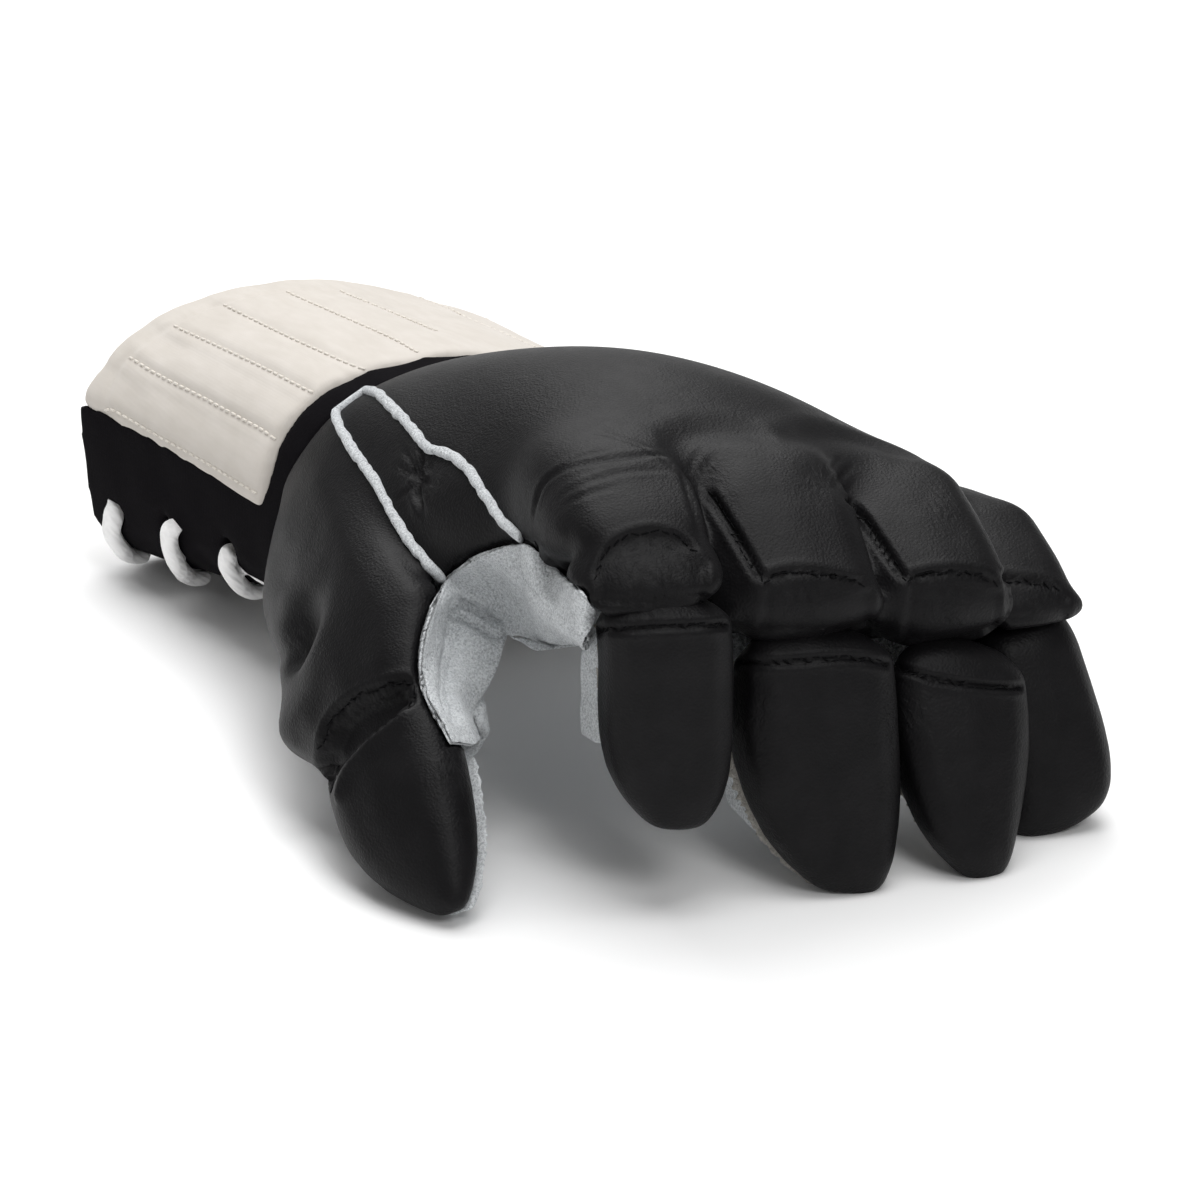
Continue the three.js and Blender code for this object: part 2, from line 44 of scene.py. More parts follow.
# The camera stands where the photograph's did. Pixels are places in its picture of IMAGE x IMAGE.
IMAGE = 1200
FOCAL = 5940
SENSOR = 36.0
TARGET = np.array([5.815, -17.886, 31.790])
DISTANCE = 1350
AZIMUTH = math.radians(28)
ELEVATION = math.radians(21)
CLIP = (0.05, 30)
BACK = np.array(
    [
        -math.sin(AZIMUTH) * math.cos(ELEVATION),
        -math.cos(AZIMUTH) * math.cos(ELEVATION),
        math.sin(ELEVATION),
    ]
)
RIGHT = np.array([math.cos(AZIMUTH), -math.sin(AZIMUTH), 0.0])
UP = np.cross(BACK, RIGHT)
EYE = TARGET + DISTANCE * BACK


def placed(name, data):
    """A new object in the scene."""
    made = bpy.data.objects.new(name, data)
    bpy.context.scene.collection.objects.link(made)
    return made


def add_camera():
    data = bpy.data.cameras.new("camera")
    data.lens = FOCAL / IMAGE * SENSOR
    data.sensor_width = SENSOR
    data.clip_start, data.clip_end = CLIP
    camera = placed("camera", data)
    turn = Matrix((RIGHT, UP, BACK)).transposed().to_4x4()
    camera.matrix_world = Matrix.Translation(Vector(EYE * MM)) @ turn
    bpy.context.scene.camera = camera


# Shapes

TINY = 1e-9
# A groove's raised sides lie this many widths from its middle, and beyond its reach nothing moves
LIP_AT = 2.2
GROOVE_REACH = 5
# The share of a groove's depth at its very ends, and of the way that its bottom draws points
END_SHARE = 0.15
CRISP_SHARE = 0.8
# The thin plate that bends a shape is worked in units of so many pixels, and gives way by this much
PLATE_UNIT = 100
PLATE_GIVE = 0.02
# A sheet hides what lies within so many millimetres of its edge
TUCK_ASIDE = 0.8
# How far apart the noise of two seeds is taken
SEED_STEP = 31.7
# Corners of a solid closer than this, in metres, are one
WELD = 1e-6


def unit(rows):
    """The rows as vectors of length 1."""
    return rows / np.maximum(np.linalg.norm(rows, axis=-1, keepdims=True), TINY)


def smooth_step(t):
    """From 0 to 1 while t does, with level ends."""
    t = np.clip(t, 0, 1)
    return t * t * (3 - 2 * t)


def rise_between(values, start, end):
    """From 0 to 1 while the values go from start to end, with level ends."""
    return smooth_step((values - start) / (end - start))


def curve_through(rows, spacing):
    """Points about that far apart on a smooth curve through the rows."""
    rows = np.asarray(rows, float)
    padded = np.vstack([2 * rows[0] - rows[1], rows, 2 * rows[-1] - rows[-2]])
    made = []
    for a, b, c, d in zip(padded, padded[1:], padded[2:], padded[3:]):
        steps = max(2, math.ceil(np.linalg.norm(c - b) / spacing))
        for t in np.linspace(0, 1, steps, endpoint=False):
            bend = 2 * a - 5 * b + 4 * c - d + t * (3 * (b - c) + d - a)
            made.append(b + 0.5 * t * (c - a + t * bend))
    return np.vstack([*made, rows[-1]])


def counted(path, count):
    """The same path with that many points at even distances."""
    steps = np.linalg.norm(np.diff(path, axis=0), axis=1)
    along = np.concatenate([[0], np.cumsum(steps)])
    wanted = np.linspace(0, along[-1], count)
    return np.stack([np.interp(wanted, along, column) for column in path.T], axis=1)


def even(path, spacing):
    """The same path with points that far apart."""
    length = np.linalg.norm(np.diff(path, axis=0), axis=1).sum()
    return counted(path, max(2, round(length / spacing) + 1))


def from_path(points, path):
    """Each point's distance to a path, the nearest place on it, and how far along that place is."""
    nearest = np.repeat(path[:1], len(points), axis=0)
    distance = np.linalg.norm(points - nearest, axis=1)
    along = np.zeros(len(points))
    start_at = 0.0
    for start, end in zip(path, path[1:]):
        line = end - start
        length = np.linalg.norm(line)
        t = np.clip((points - start) @ line / length**2, 0, 1)
        place = start + t[:, None] * line
        away = np.linalg.norm(points - place, axis=1)
        closer = away < distance
        distance[closer] = away[closer]
        nearest[closer] = place[closer]
        along[closer] = start_at + t[closer] * length
        start_at += length
    return distance, nearest, along


def plate(points, centres):
    """How far a thin plate held at each centre bends at each point."""
    away = np.linalg.norm(points[:, None] - centres, axis=2)
    return away**2 * np.log(np.maximum(away, TINY))


class Shape:
    """A mesh in millimetres, worked as arrays before it becomes an object."""

    def __init__(self, points, faces):
        self.points = np.asarray(points, float)
        self.faces = np.asarray(faces, int)
        pairs = np.vstack([self.faces[:, [k, (k + 1) % 4]] for k in range(4)])
        self.edges = np.unique(np.sort(pairs, axis=1), axis=0)
        self.degree = np.bincount(self.edges.ravel(), minlength=len(self.points))[:, None]

    def gathered(self, index, rows):
        """The sum of the rows that belong to each point."""
        return np.stack([np.bincount(index, column, len(self.points)) for column in rows.T], axis=1)

    def normals(self):
        """The direction out of the shape at each point."""
        corner = self.points[self.faces]
        across = np.cross(corner[:, 2] - corner[:, 0], corner[:, 3] - corner[:, 1])
        return unit(self.gathered(self.faces.ravel(), np.repeat(across, 4, axis=0)))

    def averaged(self, rows):
        """The mean of each point's neighbours' rows."""
        a, b = self.edges.T
        return (self.gathered(a, rows[b]) + self.gathered(b, rows[a])) / self.degree

    def relax(self, rounds, where=1.0):
        """Evens the surface out. where is each point's share of it, from 0 to 1."""
        share = 0.5 * np.broadcast_to(where, len(self.points))[:, None]
        for _ in range(rounds):
            self.points += share * (self.averaged(self.points) - self.points)
        return self

    def swell(self, amount):
        self.points += amount * self.normals()
        return self

    def tree(self):
        return BVHTree.FromPolygons(self.points.tolist(), self.faces.tolist())

    def groove(self, path, width, depth, lip=0.0, taper=3.0, crisp=0.0):
        """Presses a line into the shape.

        lip raises its two sides, taper is how far its ends run out, and crisp is how far from
        its middle points are drawn onto it.
        """
        low, high = path.min(0) - GROOVE_REACH * width, path.max(0) + GROOVE_REACH * width
        near = np.flatnonzero(((self.points > low) & (self.points < high)).all(1))
        points = self.points[near]
        distance, nearest, along = from_path(points, path)
        length = np.linalg.norm(np.diff(path, axis=0), axis=1).sum()
        ends = smooth_step(np.minimum(along, length - along) / taper + END_SHARE)
        profile = lip * np.exp(-((distance / width - LIP_AT) ** 2))
        profile -= depth * np.exp(-((distance / width) ** 2))
        normals = self.normals()[near]
        snap = CRISP_SHARE * np.clip(1 - distance / max(crisp, TINY), 0, 1)[:, None]
        aside = nearest - points
        aside -= (aside * normals).sum(1, keepdims=True) * normals
        self.points[near] = points + snap * aside + (profile * ends)[:, None] * normals
        return self

    def dent(self, centre, radius, depth):
        """Presses a soft round hollow into the shape."""
        distance = np.linalg.norm(self.points - centre, axis=1)
        self.points -= (depth * np.exp(-((distance / radius) ** 2)))[:, None] * self.normals()
        return self

    def inset(self, outline, depth, edge):
        """Presses in what the camera sees inside an outline of pixels. edge is its slope's width."""
        outline = np.asarray(outline, float)
        seen = pixels_of(self.points)
        ahead = np.roll(outline, -1, axis=0)
        inside = np.zeros(len(seen), bool)
        for (u, v), (next_u, next_v) in zip(outline, ahead):
            if v == next_v:
                continue
            crossing = (v > seen[:, 1]) != (next_v > seen[:, 1])
            side_u = u + (next_u - u) * (seen[:, 1] - v) / (next_v - v)
            inside ^= crossing & (seen[:, 0] < side_u)
        normals = self.normals()
        inside &= normals @ BACK > 0
        distance, *_ = from_path(seen[inside], np.vstack([outline, outline[:1]]))
        self.points[inside] -= (depth * smooth_step(distance / edge))[:, None] * normals[inside]
        return self

    def pulled(self, pixel, reach, move):
        """Draws what the camera sees round a pixel aside. reach and move are in pixels."""
        away = np.linalg.norm(pixels_of(self.points) - pixel, axis=1)
        share = np.exp(-((away / reach) ** 2)) * ((EYE - self.points) @ BACK) / FOCAL
        self.points += share[:, None] * (move[0] * RIGHT - move[1] * UP)
        return self

    def nudged(self, moves):
        """Bends the shape sideways. Each row of moves has the pixel of a place and where it comes to."""
        moves = np.asarray(moves, float) / PLATE_UNIT
        places, shifts = moves[:, :2], moves[:, 2:] - moves[:, :2]
        bent = plate(places, places) + PLATE_GIVE * np.eye(len(places))
        flat = np.hstack([np.ones((len(places), 1)), places])
        system = np.block([[bent, flat], [flat.T, np.zeros((3, 3))]])
        weights = np.linalg.solve(system, np.vstack([shifts, np.zeros((3, 2))]))
        seen = pixels_of(self.points) / PLATE_UNIT
        moved = PLATE_UNIT * np.hstack([plate(seen, places), np.ones((len(seen), 1)), seen]) @ weights
        scale = (EYE - self.points) @ BACK / FOCAL
        self.points += (moved[:, :1] * RIGHT - moved[:, 1:] * UP) * scale[:, None]
        return self

    def tucked(self, sheet, low, high, room, reach):
        """Moves what a sheet between two corners covers to behind it. Its faces look out."""
        near = ((self.points > low - reach) & (self.points < high + reach)).all(1)
        for k in np.flatnonzero(near):
            place, out, *_ = sheet.find_nearest(Vector(self.points[k]), reach)
            if place is None:
                continue
            away = Vector(self.points[k]) - place
            above = away.dot(out)
            aside = (away - above * out).length
            if above > -room and aside < TUCK_ASIDE:
                self.points[k] -= (above + room) * np.array(out)
        return self

    def rough(self, size, height, seed=0):
        """Uneven swelling, in lumps of about that size."""
        scaled = self.points / size + SEED_STEP * seed
        value = np.array([noise.noise(Vector(p)) for p in scaled])
        self.points += (height * value)[:, None] * self.normals()
        return self


def solid_mesh(copies, tubes=()):
    """One mesh from tubes and copies of nodes' solids: each copy's node, its move and its growth."""
    made = bmesh.new()
    for points, faces in tubes:
        mesh = bpy.data.meshes.new("tube")
        mesh.from_pydata((points * MM).tolist(), [], faces)
        made.from_mesh(mesh)
        bpy.data.meshes.remove(mesh)
    for node, shift, grow in copies:
        part = bmesh.new()
        part.from_mesh(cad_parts[node].data)
        bmesh.ops.remove_doubles(part, verts=part.verts, dist=WELD)
        part.normal_update()
        for vertex, move in [(v, v.normal * grow) for v in part.verts]:
            vertex.co += (move + Vector(shift)) * MM
        mesh = bpy.data.meshes.new("solid")
        part.to_mesh(mesh)
        part.free()
        made.from_mesh(mesh)
        bpy.data.meshes.remove(mesh)
    mesh = bpy.data.meshes.new("solids")
    made.to_mesh(mesh)
    made.free()
    return mesh


def remeshed(copies, voxel, tubes=()):
    """Copies of nodes' solids and tubes as one evenly meshed skin."""
    mesh = solid_mesh(copies, tubes)
    helper = placed("helper", mesh)
    modifier = helper.modifiers.new("remesh", "REMESH")
    modifier.mode = "VOXEL"
    modifier.voxel_size = voxel * MM
    evaluated = helper.evaluated_get(bpy.context.evaluated_depsgraph_get())
    done = bpy.data.meshes.new_from_object(evaluated)
    points = np.zeros(3 * len(done.vertices))
    done.vertices.foreach_get("co", points)
    faces = np.zeros(4 * len(done.polygons), int)
    done.polygons.foreach_get("vertices", faces)
    bpy.data.objects.remove(helper)
    bpy.data.meshes.remove(mesh)
    bpy.data.meshes.remove(done)
    return Shape(points.reshape(-1, 3) / MM, faces.reshape(-1, 4))


def sight(u, v):
    """The direction from the camera through a pixel."""
    return unit(-BACK * FOCAL + RIGHT * (u - IMAGE / 2) - UP * (v - IMAGE / 2))


def at_depth(u, v, y):
    """The point that a pixel shows, if it has this y."""
    way = sight(u, v)
    return EYE + way * (y - EYE[1]) / way[1]


def pixels_of(points):
    """Where the camera sees the points."""
    away = points - EYE
    ahead = -away @ BACK
    u = IMAGE / 2 + FOCAL * (away @ RIGHT) / ahead
    v = IMAGE / 2 - FOCAL * (away @ UP) / ahead
    return np.stack([u, v], axis=1)


PIXEL_STEP = 2


def shown(tree, u, v):
    """The place on the shape that a pixel shows and the direction out of it there, if it shows any."""
    hit, out, *_ = tree.ray_cast(Vector(EYE), Vector(sight(u, v)))
    return (None, None) if hit is None else (np.array(hit), np.array(out))


def traced(tree, pixels, spacing=0.5):
    """A line of pixels, laid on the shape where the camera sees it."""
    places = [shown(tree, u, v)[0] for u, v in curve_through(pixels, PIXEL_STEP)]
    return even(np.array([place for place in places if place is not None]), spacing)


# Pieces


def piece(name, points, faces, look, slot, replaces=()):
    """A new object from points in millimetres, which stands for the nodes it replaces."""
    mesh = bpy.data.meshes.new(name)
    mesh.from_pydata((np.asarray(points) * MM).tolist(), [], [list(face) for face in faces])
    mesh.materials.append(look)
    mesh.shade_smooth()
    made = placed(name, mesh)
    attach(made, "root")
    if replaces:
        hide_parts(*replaces)
    return made


def shaped(name, shape, look, slot, replaces=()):
    """The same from a shape."""
    return piece(name, shape.points, shape.faces.tolist(), look, slot, replaces)


# Where the leather is finely wrinkled: the pixel, and how far round it in pixels
WRINKLED = [
    ((420, 475), 26), ((620, 582), 22), ((668, 585), 22), ((700, 470), 20), ((828, 478), 20),
    ((945, 505), 16), ((800, 602), 26), ((945, 610), 28), ((450, 775), 20), ((335, 765), 16),
    ((755, 715), 26), ((905, 720), 26), ((770, 850), 20), ((300, 640), 18), ((690, 560), 12),
    ((1040, 600), 18), ((640, 615), 22),
]


def leather(name, shape, nodes):
    """A padded piece of leather, with the share of wrinkles at each of its points."""
    made = shaped(name, shape, LEATHER, "leather", nodes)
    seen = pixels_of(shape.points)
    facing = shape.normals() @ BACK > 0
    share = sum(np.exp(-(((seen - place) / reach) ** 2).sum(1)) for place, reach in WRINKLED)
    wrinkled = made.data.attributes.new("wrinkled", "FLOAT", "POINT")
    wrinkled.data.foreach_set("value", np.minimum(share, 1) * facing)


# The rings of a stitch: the share of the way along it, how far past that, and the width, in radii
CAPSULE_SIDES = 6
CAPSULE_RINGS = ((0.0, -0.6, 0.75), (0.0, 0.0, 1.0), (1.0, 0.0, 1.0), (1.0, 0.6, 0.75))


def capsule(start, end, out, radius):
    """Points and faces of one stitch, flat ended in its holes."""
    ahead = unit(end - start)
    side = unit(np.cross(ahead, out))
    points = []
    for place, past, width in CAPSULE_RINGS:
        centre = start + place * (end - start) + past * radius * ahead
        for k in range(CAPSULE_SIDES):
            angle = 2 * math.pi * k / CAPSULE_SIDES
            points.append(centre + width * radius * (math.cos(angle) * side + math.sin(angle) * out))
    faces = [list(range(CAPSULE_SIDES))]
    for ring in range(len(CAPSULE_RINGS) - 1):
        for k in range(CAPSULE_SIDES):
            a = ring * CAPSULE_SIDES + k
            b = ring * CAPSULE_SIDES + (k + 1) % CAPSULE_SIDES
            faces.append([a, a + CAPSULE_SIDES, b + CAPSULE_SIDES, b])
    last = (len(CAPSULE_RINGS) - 1) * CAPSULE_SIDES
    faces.append(list(range(last + CAPSULE_SIDES - 1, last - 1, -1)))
    return points, faces


# The sizes of stitches in millimetres: from one to the next, the length, the radius, and how far the
# thread's middle stands out
LEATHER_STITCH = (2.2, 1.4, 0.17, 0.02)
QUILT_STITCH = (3.0, 1.4, 0.34, 0.1)


def stitches(tree, paths, pitch, length, radius, lift):
    """Points and faces of rows of stitches laid on a shape along paths."""
    points, faces = [], []
    for path in paths:
        places = even(path, pitch)
        for a, b in zip(places, places[1:]):
            ends = []
            for t in (0.5 - length / pitch / 2, 0.5 + length / pitch / 2):
                over = a + t * (b - a)
                place, out, *_ = tree.find_nearest(Vector(over))
                out = np.array(out)
                ends.append(over + ((np.array(place) - over) @ out + lift) * out)
            new_points, new_faces = capsule(ends[0], ends[1], out, radius)
            faces += [[len(points) + k for k in face] for face in new_faces]
            points += new_points
    return points, faces


# Materials

# The colour sockets of a mix node, which share their names with its other sockets
MIX_COLOURS = (6, 7)
MIX_RESULT = 2
# A wave texture of scale 1 repeats over this length
WAVE_LENGTH = math.pi / 10


class Look:
    """A node material: its shader, and short ways to add nodes to it. Sizes are in millimetres."""

    def __init__(self, name, roughness, **sockets):
        self.material = bpy.data.materials.new(name)
        self.material.use_nodes = True
        self.tree = self.material.node_tree
        self.shader = self.tree.nodes["Principled BSDF"]
        self.place = self.add("ShaderNodeTexCoord").outputs["Object"]
        self.shader.inputs["Roughness"].default_value = roughness
        for socket, value in sockets.items():
            self.shader.inputs[socket.replace("_", " ")].default_value = value
        self.surface = None

    def plug(self, socket, value):
        """Sets a socket, or links it to another node's."""
        if isinstance(value, bpy.types.NodeSocket):
            self.tree.links.new(value, socket)
        else:
            socket.default_value = value

    def add(self, kind, settings=None, inputs=None):
        made = self.tree.nodes.new(kind)
        for name, value in (settings or {}).items():
            setattr(made, name, value)
        for name, value in (inputs or {}).items():
            self.plug(made.inputs[name], value)
        return made

    def stretched(self, stretch, turn=(0, 0, 0)):
        inputs = {"Vector": self.place, "Scale": stretch, "Rotation": turn}
        return self.add("ShaderNodeMapping", None, inputs).outputs["Vector"]

    def noise(self, size, detail=2.0, roughness=0.5, vector=None, distortion=0.0):
        inputs = {
            "Vector": vector or self.place,
            "Scale": 1 / (size * MM),
            "Detail": detail,
            "Roughness": roughness,
            "Distortion": distortion,
        }
        return self.add("ShaderNodeTexNoise", None, inputs).outputs["Fac"]

    def cells(self, size, feature="F1"):
        inputs = {"Vector": self.place, "Scale": 1 / (size * MM)}
        return self.add("ShaderNodeTexVoronoi", {"feature": feature}, inputs).outputs["Distance"]

    def waves(self, size, direction, vector=None):
        settings = {"wave_type": "BANDS", "bands_direction": direction, "wave_profile": "SIN"}
        inputs = {"Vector": vector or self.place, "Scale": WAVE_LENGTH / (size * MM)}
        return self.add("ShaderNodeTexWave", settings, inputs).outputs["Fac"]

    def between(self, value, low, high, start=0.0, end=1.0):
        """From low to high while the value goes from start to end."""
        inputs = {"Value": value, "From Min": start, "From Max": end, "To Min": low, "To Max": high}
        return self.add("ShaderNodeMapRange", None, inputs).outputs["Result"]

    def joined(self, a, b, operation="ADD"):
        made = self.add("ShaderNodeMath", {"operation": operation})
        self.plug(made.inputs[0], a)
        self.plug(made.inputs[1], b)
        return made.outputs["Value"]

    def colours(self, share, *pair):
        """From the first colour to the second as the share grows."""
        made = self.add("ShaderNodeMix", {"data_type": "RGBA"}, {"Factor": share})
        for socket, colour in zip(MIX_COLOURS, pair):
            self.plug(made.inputs[socket], (*colour, 1))
        return made.outputs[MIX_RESULT]

    def bump(self, height, depth, strength):
        """Lays bumps of that depth over those already there."""
        inputs = {"Height": height, "Distance": depth * MM, "Strength": strength}
        made = self.add("ShaderNodeBump", None, inputs)
        if self.surface is not None:
            self.plug(made.inputs["Normal"], self.surface)
        self.surface = made.outputs["Normal"]

    def done(self, colour, roughness=None):
        self.plug(self.shader.inputs["Base Color"], colour)
        if roughness is not None:
            self.plug(self.shader.inputs["Roughness"], roughness)
        if self.surface is not None:
            self.plug(self.shader.inputs["Normal"], self.surface)
        return self.material


def leather_look():
    look = Look("leather", 0.45, Specular_IOR_Level=0.14)
    wide = look.noise(28, 3)
    worn = look.between(look.noise(9, 4, 0.6), 0, 1, 0.35, 0.75)
    colour = look.colours(worn, (0.0034, 0.0032, 0.0037), (0.0066, 0.0062, 0.0069))
    grain = look.cells(0.55, "SMOOTH_F1")
    pores = look.noise(0.35, 2)
    creased = look.noise(3.2, 6, 0.62, look.stretched((1, 0.55, 0.8)), 0.6)
    wrinkled = look.add("ShaderNodeAttribute", {"attribute_name": "wrinkled"}).outputs["Fac"]
    folds = look.noise(1.8, 5, 0.6, look.stretched((1, 0.45, 0.6), (0.3, 0.2, 0.5)), 1.2)
    look.bump(creased, 0.3, 0.4)
    look.bump(look.joined(folds, wrinkled, "MULTIPLY"), 0.8, 0.8)
    look.bump(grain, 0.15, 0.6)
    look.bump(pores, 0.08, 0.6)
    roughness = look.joined(look.between(wide, -0.04, 0.05), look.between(creased, 0.42, 0.52))
    return look.done(colour, roughness)


def suede_look(name, light, dark):
    look = Look(name, 0.95, Sheen_Weight=0.15, Sheen_Roughness=0.6, Specular_IOR_Level=0.15)
    nap = look.noise(0.5, 4, 0.75)
    crumbs = look.cells(0.7)
    patches = look.noise(6, 3, 0.6)
    share = look.between(nap, -0.1, 0.7, 0.42, 0.58)
    share = look.joined(share, look.between(patches, 0, 0.25, 0.3, 0.7))
    share = look.joined(share, look.between(crumbs, -0.1, 0.25, 0.1, 0.5))
    look.bump(patches, 0.25, 0.4)
    look.bump(crumbs, 0.35, 0.7)
    look.bump(nap, 0.8, 1.0)
    return look.done(look.colours(share, dark, light))


def canvas_look():
    look = Look("canvas", 0.9, Sheen_Weight=0.1, Specular_IOR_Level=0.25)
    weave = look.joined(look.waves(0.62, "X"), look.waves(0.62, "Y"), "MULTIPLY")
    slubs = look.noise(2.4, 3, 0.6, look.stretched((1, 0.25, 1)))
    soft = look.noise(14, 2)
    share = look.joined(look.between(slubs, 0, 0.5, 0.35, 0.7), look.between(soft, 0, 0.5, 0.3, 0.7))
    look.bump(soft, 0.5, 0.3)
    look.bump(weave, 0.06, 0.2)
    return look.done(look.colours(share, (0.57, 0.53, 0.48), (0.635, 0.595, 0.55)))


def cloth_look():
    look = Look("black_cloth", 0.95, Specular_IOR_Level=0.06)
    weave = look.joined(look.waves(0.8, "Y"), look.waves(0.8, "Z"), "MULTIPLY")
    fuzz = look.noise(0.9, 4, 0.7)
    look.bump(fuzz, 0.2, 0.5)
    look.bump(weave, 0.1, 0.3)
    return look.done(look.colours(fuzz, (0.002, 0.0017, 0.0023), (0.0065, 0.0055, 0.007)))


def cotton_look():
    look = Look("cotton", 0.9, Sheen_Weight=0.2, Specular_IOR_Level=0.2)
    one = look.waves(1.5, "DIAGONAL")
    other = look.waves(1.5, "DIAGONAL", look.stretched((1, -1, 1)))
    strands = look.joined(one, other, "MAXIMUM")
    fuzz = look.noise(0.5, 4, 0.7)
    look.bump(strands, 0.3, 0.6)
    look.bump(fuzz, 0.1, 0.4)
    return look.done(look.colours(strands, (0.93, 0.925, 0.92), (0.985, 0.98, 0.975)))


def thread_look(name, dark, light):
    look = Look(name, 0.9, Specular_IOR_Level=0.08)
    twist = look.waves(0.3, "DIAGONAL")
    look.bump(twist, 0.05, 0.5)
    return look.done(look.colours(twist, dark, light))


LEATHER = leather_look()
SUEDE = suede_look("suede", (0.93, 0.96, 0.98), (0.50, 0.525, 0.545))
BACKING = suede_look("backing_suede", (0.60, 0.575, 0.53), (0.36, 0.34, 0.30))
CANVAS = canvas_look()
CLOTH = cloth_look()
COTTON = cotton_look()
BLACK_THREAD = thread_look("black_thread", (0.002, 0.002, 0.0025), (0.006, 0.006, 0.0065))
CREAM_THREAD = thread_look("cream_thread", (0.60, 0.56, 0.50), (0.82, 0.78, 0.72))


# Leather over the back of the hand

PADS = [f"{finger}_{part}_pad" for finger in FINGERS for part in ("root", "knuckle")]
BACK_NODES = ["hand_back", "thumb_base_pad", "thumb_tip_pad", "web_panel", *PADS]
YAW = {"index": 16, "middle": 10, "ring": 7, "little": 5}
# The padding of each finger runs on into the back of the hand: how far back and how far down
RUN_ON = [(10, 0.8), (20, 3.2)]
# Leather panels slope from the pads' thumb sides down to the next finger
SLOPES = [(-3.5, 1.5, -3.5), (-6.5, 3.0, -7.5)]
INDEX_SLOPES = [(-1.5, 6, -1.2), (-2, 12, -3)]
# Where each finger's pad rises from the back of the hand: x and y, from the thumb's side
RISES = ((-25, -90), (8, -99), (41, -98), (65, -88))
# How far copies are grown so that neighbours overlap, and the piping's move and growth
OVERLAP = 0.2
PIPING_MOVE = (0, 0, -0.8)
PIPING_GROWTH = 1.1
# Copies that fill the hollows behind the knuckles and at the wrist
KNUCKLE_FILLS = {"index": (-3, 1.5, -2.5), "middle": (0, 4, -3.5), "ring": (0, 4, -3.5)}
WRIST_FILL = (0, 3, -0.7)
BACK_VOXEL = 1.0
# The leather is evened out, and then again on the back of the hand. The share of that grows over this
# distance behind the rises, between these values of x, and so far from the welt's first pixel
BACK_ROUNDS = 20
SMOOTH_ROUNDS = 240
SMOOTH_BEHIND = 18
SMOOTH_ASIDE = (-52, -40)
SMOOTH_CORNER = (25, 70)
BACK_SWELL = 0.3


def run_on(finger, back, down):
    yaw = math.radians(YAW[finger])
    return (back * math.sin(yaw), back * math.cos(yaw), -down)


# Seams of the leather: the width, depth and raised sides of their grooves in millimetres, how far their
# bottoms draw points, and their pixels
BACK_SEAM = (0.9, 1.4, 0.3)
BACK_CRISP = 1.0
SEAMS = {
    "index_front": [(594, 580), (598, 569), (611, 549), (630, 538), (654, 533), (678, 538), (698, 551)],
    "middle_side": [(707, 490), (722, 515), (738, 540), (752, 563), (763, 582)],
    "middle_front": [(763, 583), (777, 575), (800, 571), (828, 574), (851, 581), (866, 587)],
    "ring_side": [(846, 497), (864, 520), (880, 543), (895, 565), (907, 581)],
    "ring_front": [(907, 582), (919, 576), (939, 572), (966, 572), (986, 578), (999, 588)],
    "little_front": [(1002, 577), (1026, 580), (1045, 583), (1061, 591)],
    "dart": [
        (316, 750), (320, 743), (328, 722), (340, 708), (358, 696), (379, 688), (400, 681), (410, 683),
        (413, 690), (409, 703), (389, 720), (370, 735), (355, 748), (340, 766), (332, 784), (329, 799),
        (331, 812),
    ],
}
# What lies lower than the leather round it, the dart and the knuckles: the outline in pixels, the depth
# in millimetres and the width of the slope in pixels
RECESSES = [
    ([(314, 756), *SEAMS["dart"][1:-2], (318, 795)], 4.0, 9),
    ([*SEAMS["index_front"], (712, 560), (712, 606), (658, 612), (590, 608)], 1.6, 7),
    ([*SEAMS["middle_front"][:-1], (876, 590), (878, 640), (755, 640)], 1.3, 7),
    ([*SEAMS["ring_front"][:-1], (1008, 590), (1006, 650), (898, 650)], 1.3, 7),
    ([*SEAMS["little_front"][:-1], (1072, 592), (1072, 625), (1002, 625)], 0.8, 6),
]
# The roll that the leather makes along the dart: its width and height in millimetres, and its pixels
ROLL_WIDTH = 1.5
ROLL_HEIGHT = 1.2
ROLL = [(414, 709), (394, 727), (375, 742), (361, 756), (347, 773), (340, 790), (338, 806)]
# Soft dents: the pixel, and the radius and depth in millimetres
DENTS = [
    ((299, 626), 7, 3.8), ((294, 645), 5, 2.4), ((420, 472), 6, 0.9), ((690, 470), 5, 1.2),
    ((829, 478), 5, 1.2),
]
# Where the leather is drawn aside: the pixel, the reach and the move in pixels
PULLS = [
    ((280, 655), 15, (9, 0)), ((280, 692), 28, (8, 0)), ((285, 600), 14, (-2, 0)),
    ((262, 560), 30, (3, 0)),
]

# The suede web, from the thumb to the index finger: the pixel and the y of its outer edge, of the fold
# beyond it and of its inner hem. Where the camera sees leather at the outer edge, the web lies on it.
WEB = [
    ((450, 744, -78), (474, 745, -76), (477, 742, -66)),
    ((437, 719, -71), (465, 724, -71), (472, 722, -62)),
    ((427, 701, -64), (455, 704, -65), (474, 706, -57)),
    ((421, 680, -57), (446, 682, -58), (489, 685, -55)),
    ((420, 660, -51), (443, 661, -52), (499, 661, -53)),
    ((424, 632, -45), (446, 628, -46), (505, 640, -52)),
    ((434, 603, -41), (457, 606, -43), (507, 633, -52)),
    ((446, 579, -42), (474, 594, -44), (512, 635, -54)),
    ((462, 566, -45), (486, 589, -47), (517, 636, -56)),
    ((480, 554, -50), (500, 585, -50), (524, 637, -58)),
    ((514, 543, -63), (521, 577, -65), (535, 640, -61)),
    ((533, 547, -70), (535, 599, -77), (548, 642, -65)),
    ((563, 571, -84), (552, 618, -88), (565, 643, -72)),
    ((582, 592, -94), (568, 629, -96), (578, 643, -82)),
    ((595, 614, -103), (586, 641, -104), (587, 650, -95)),
]
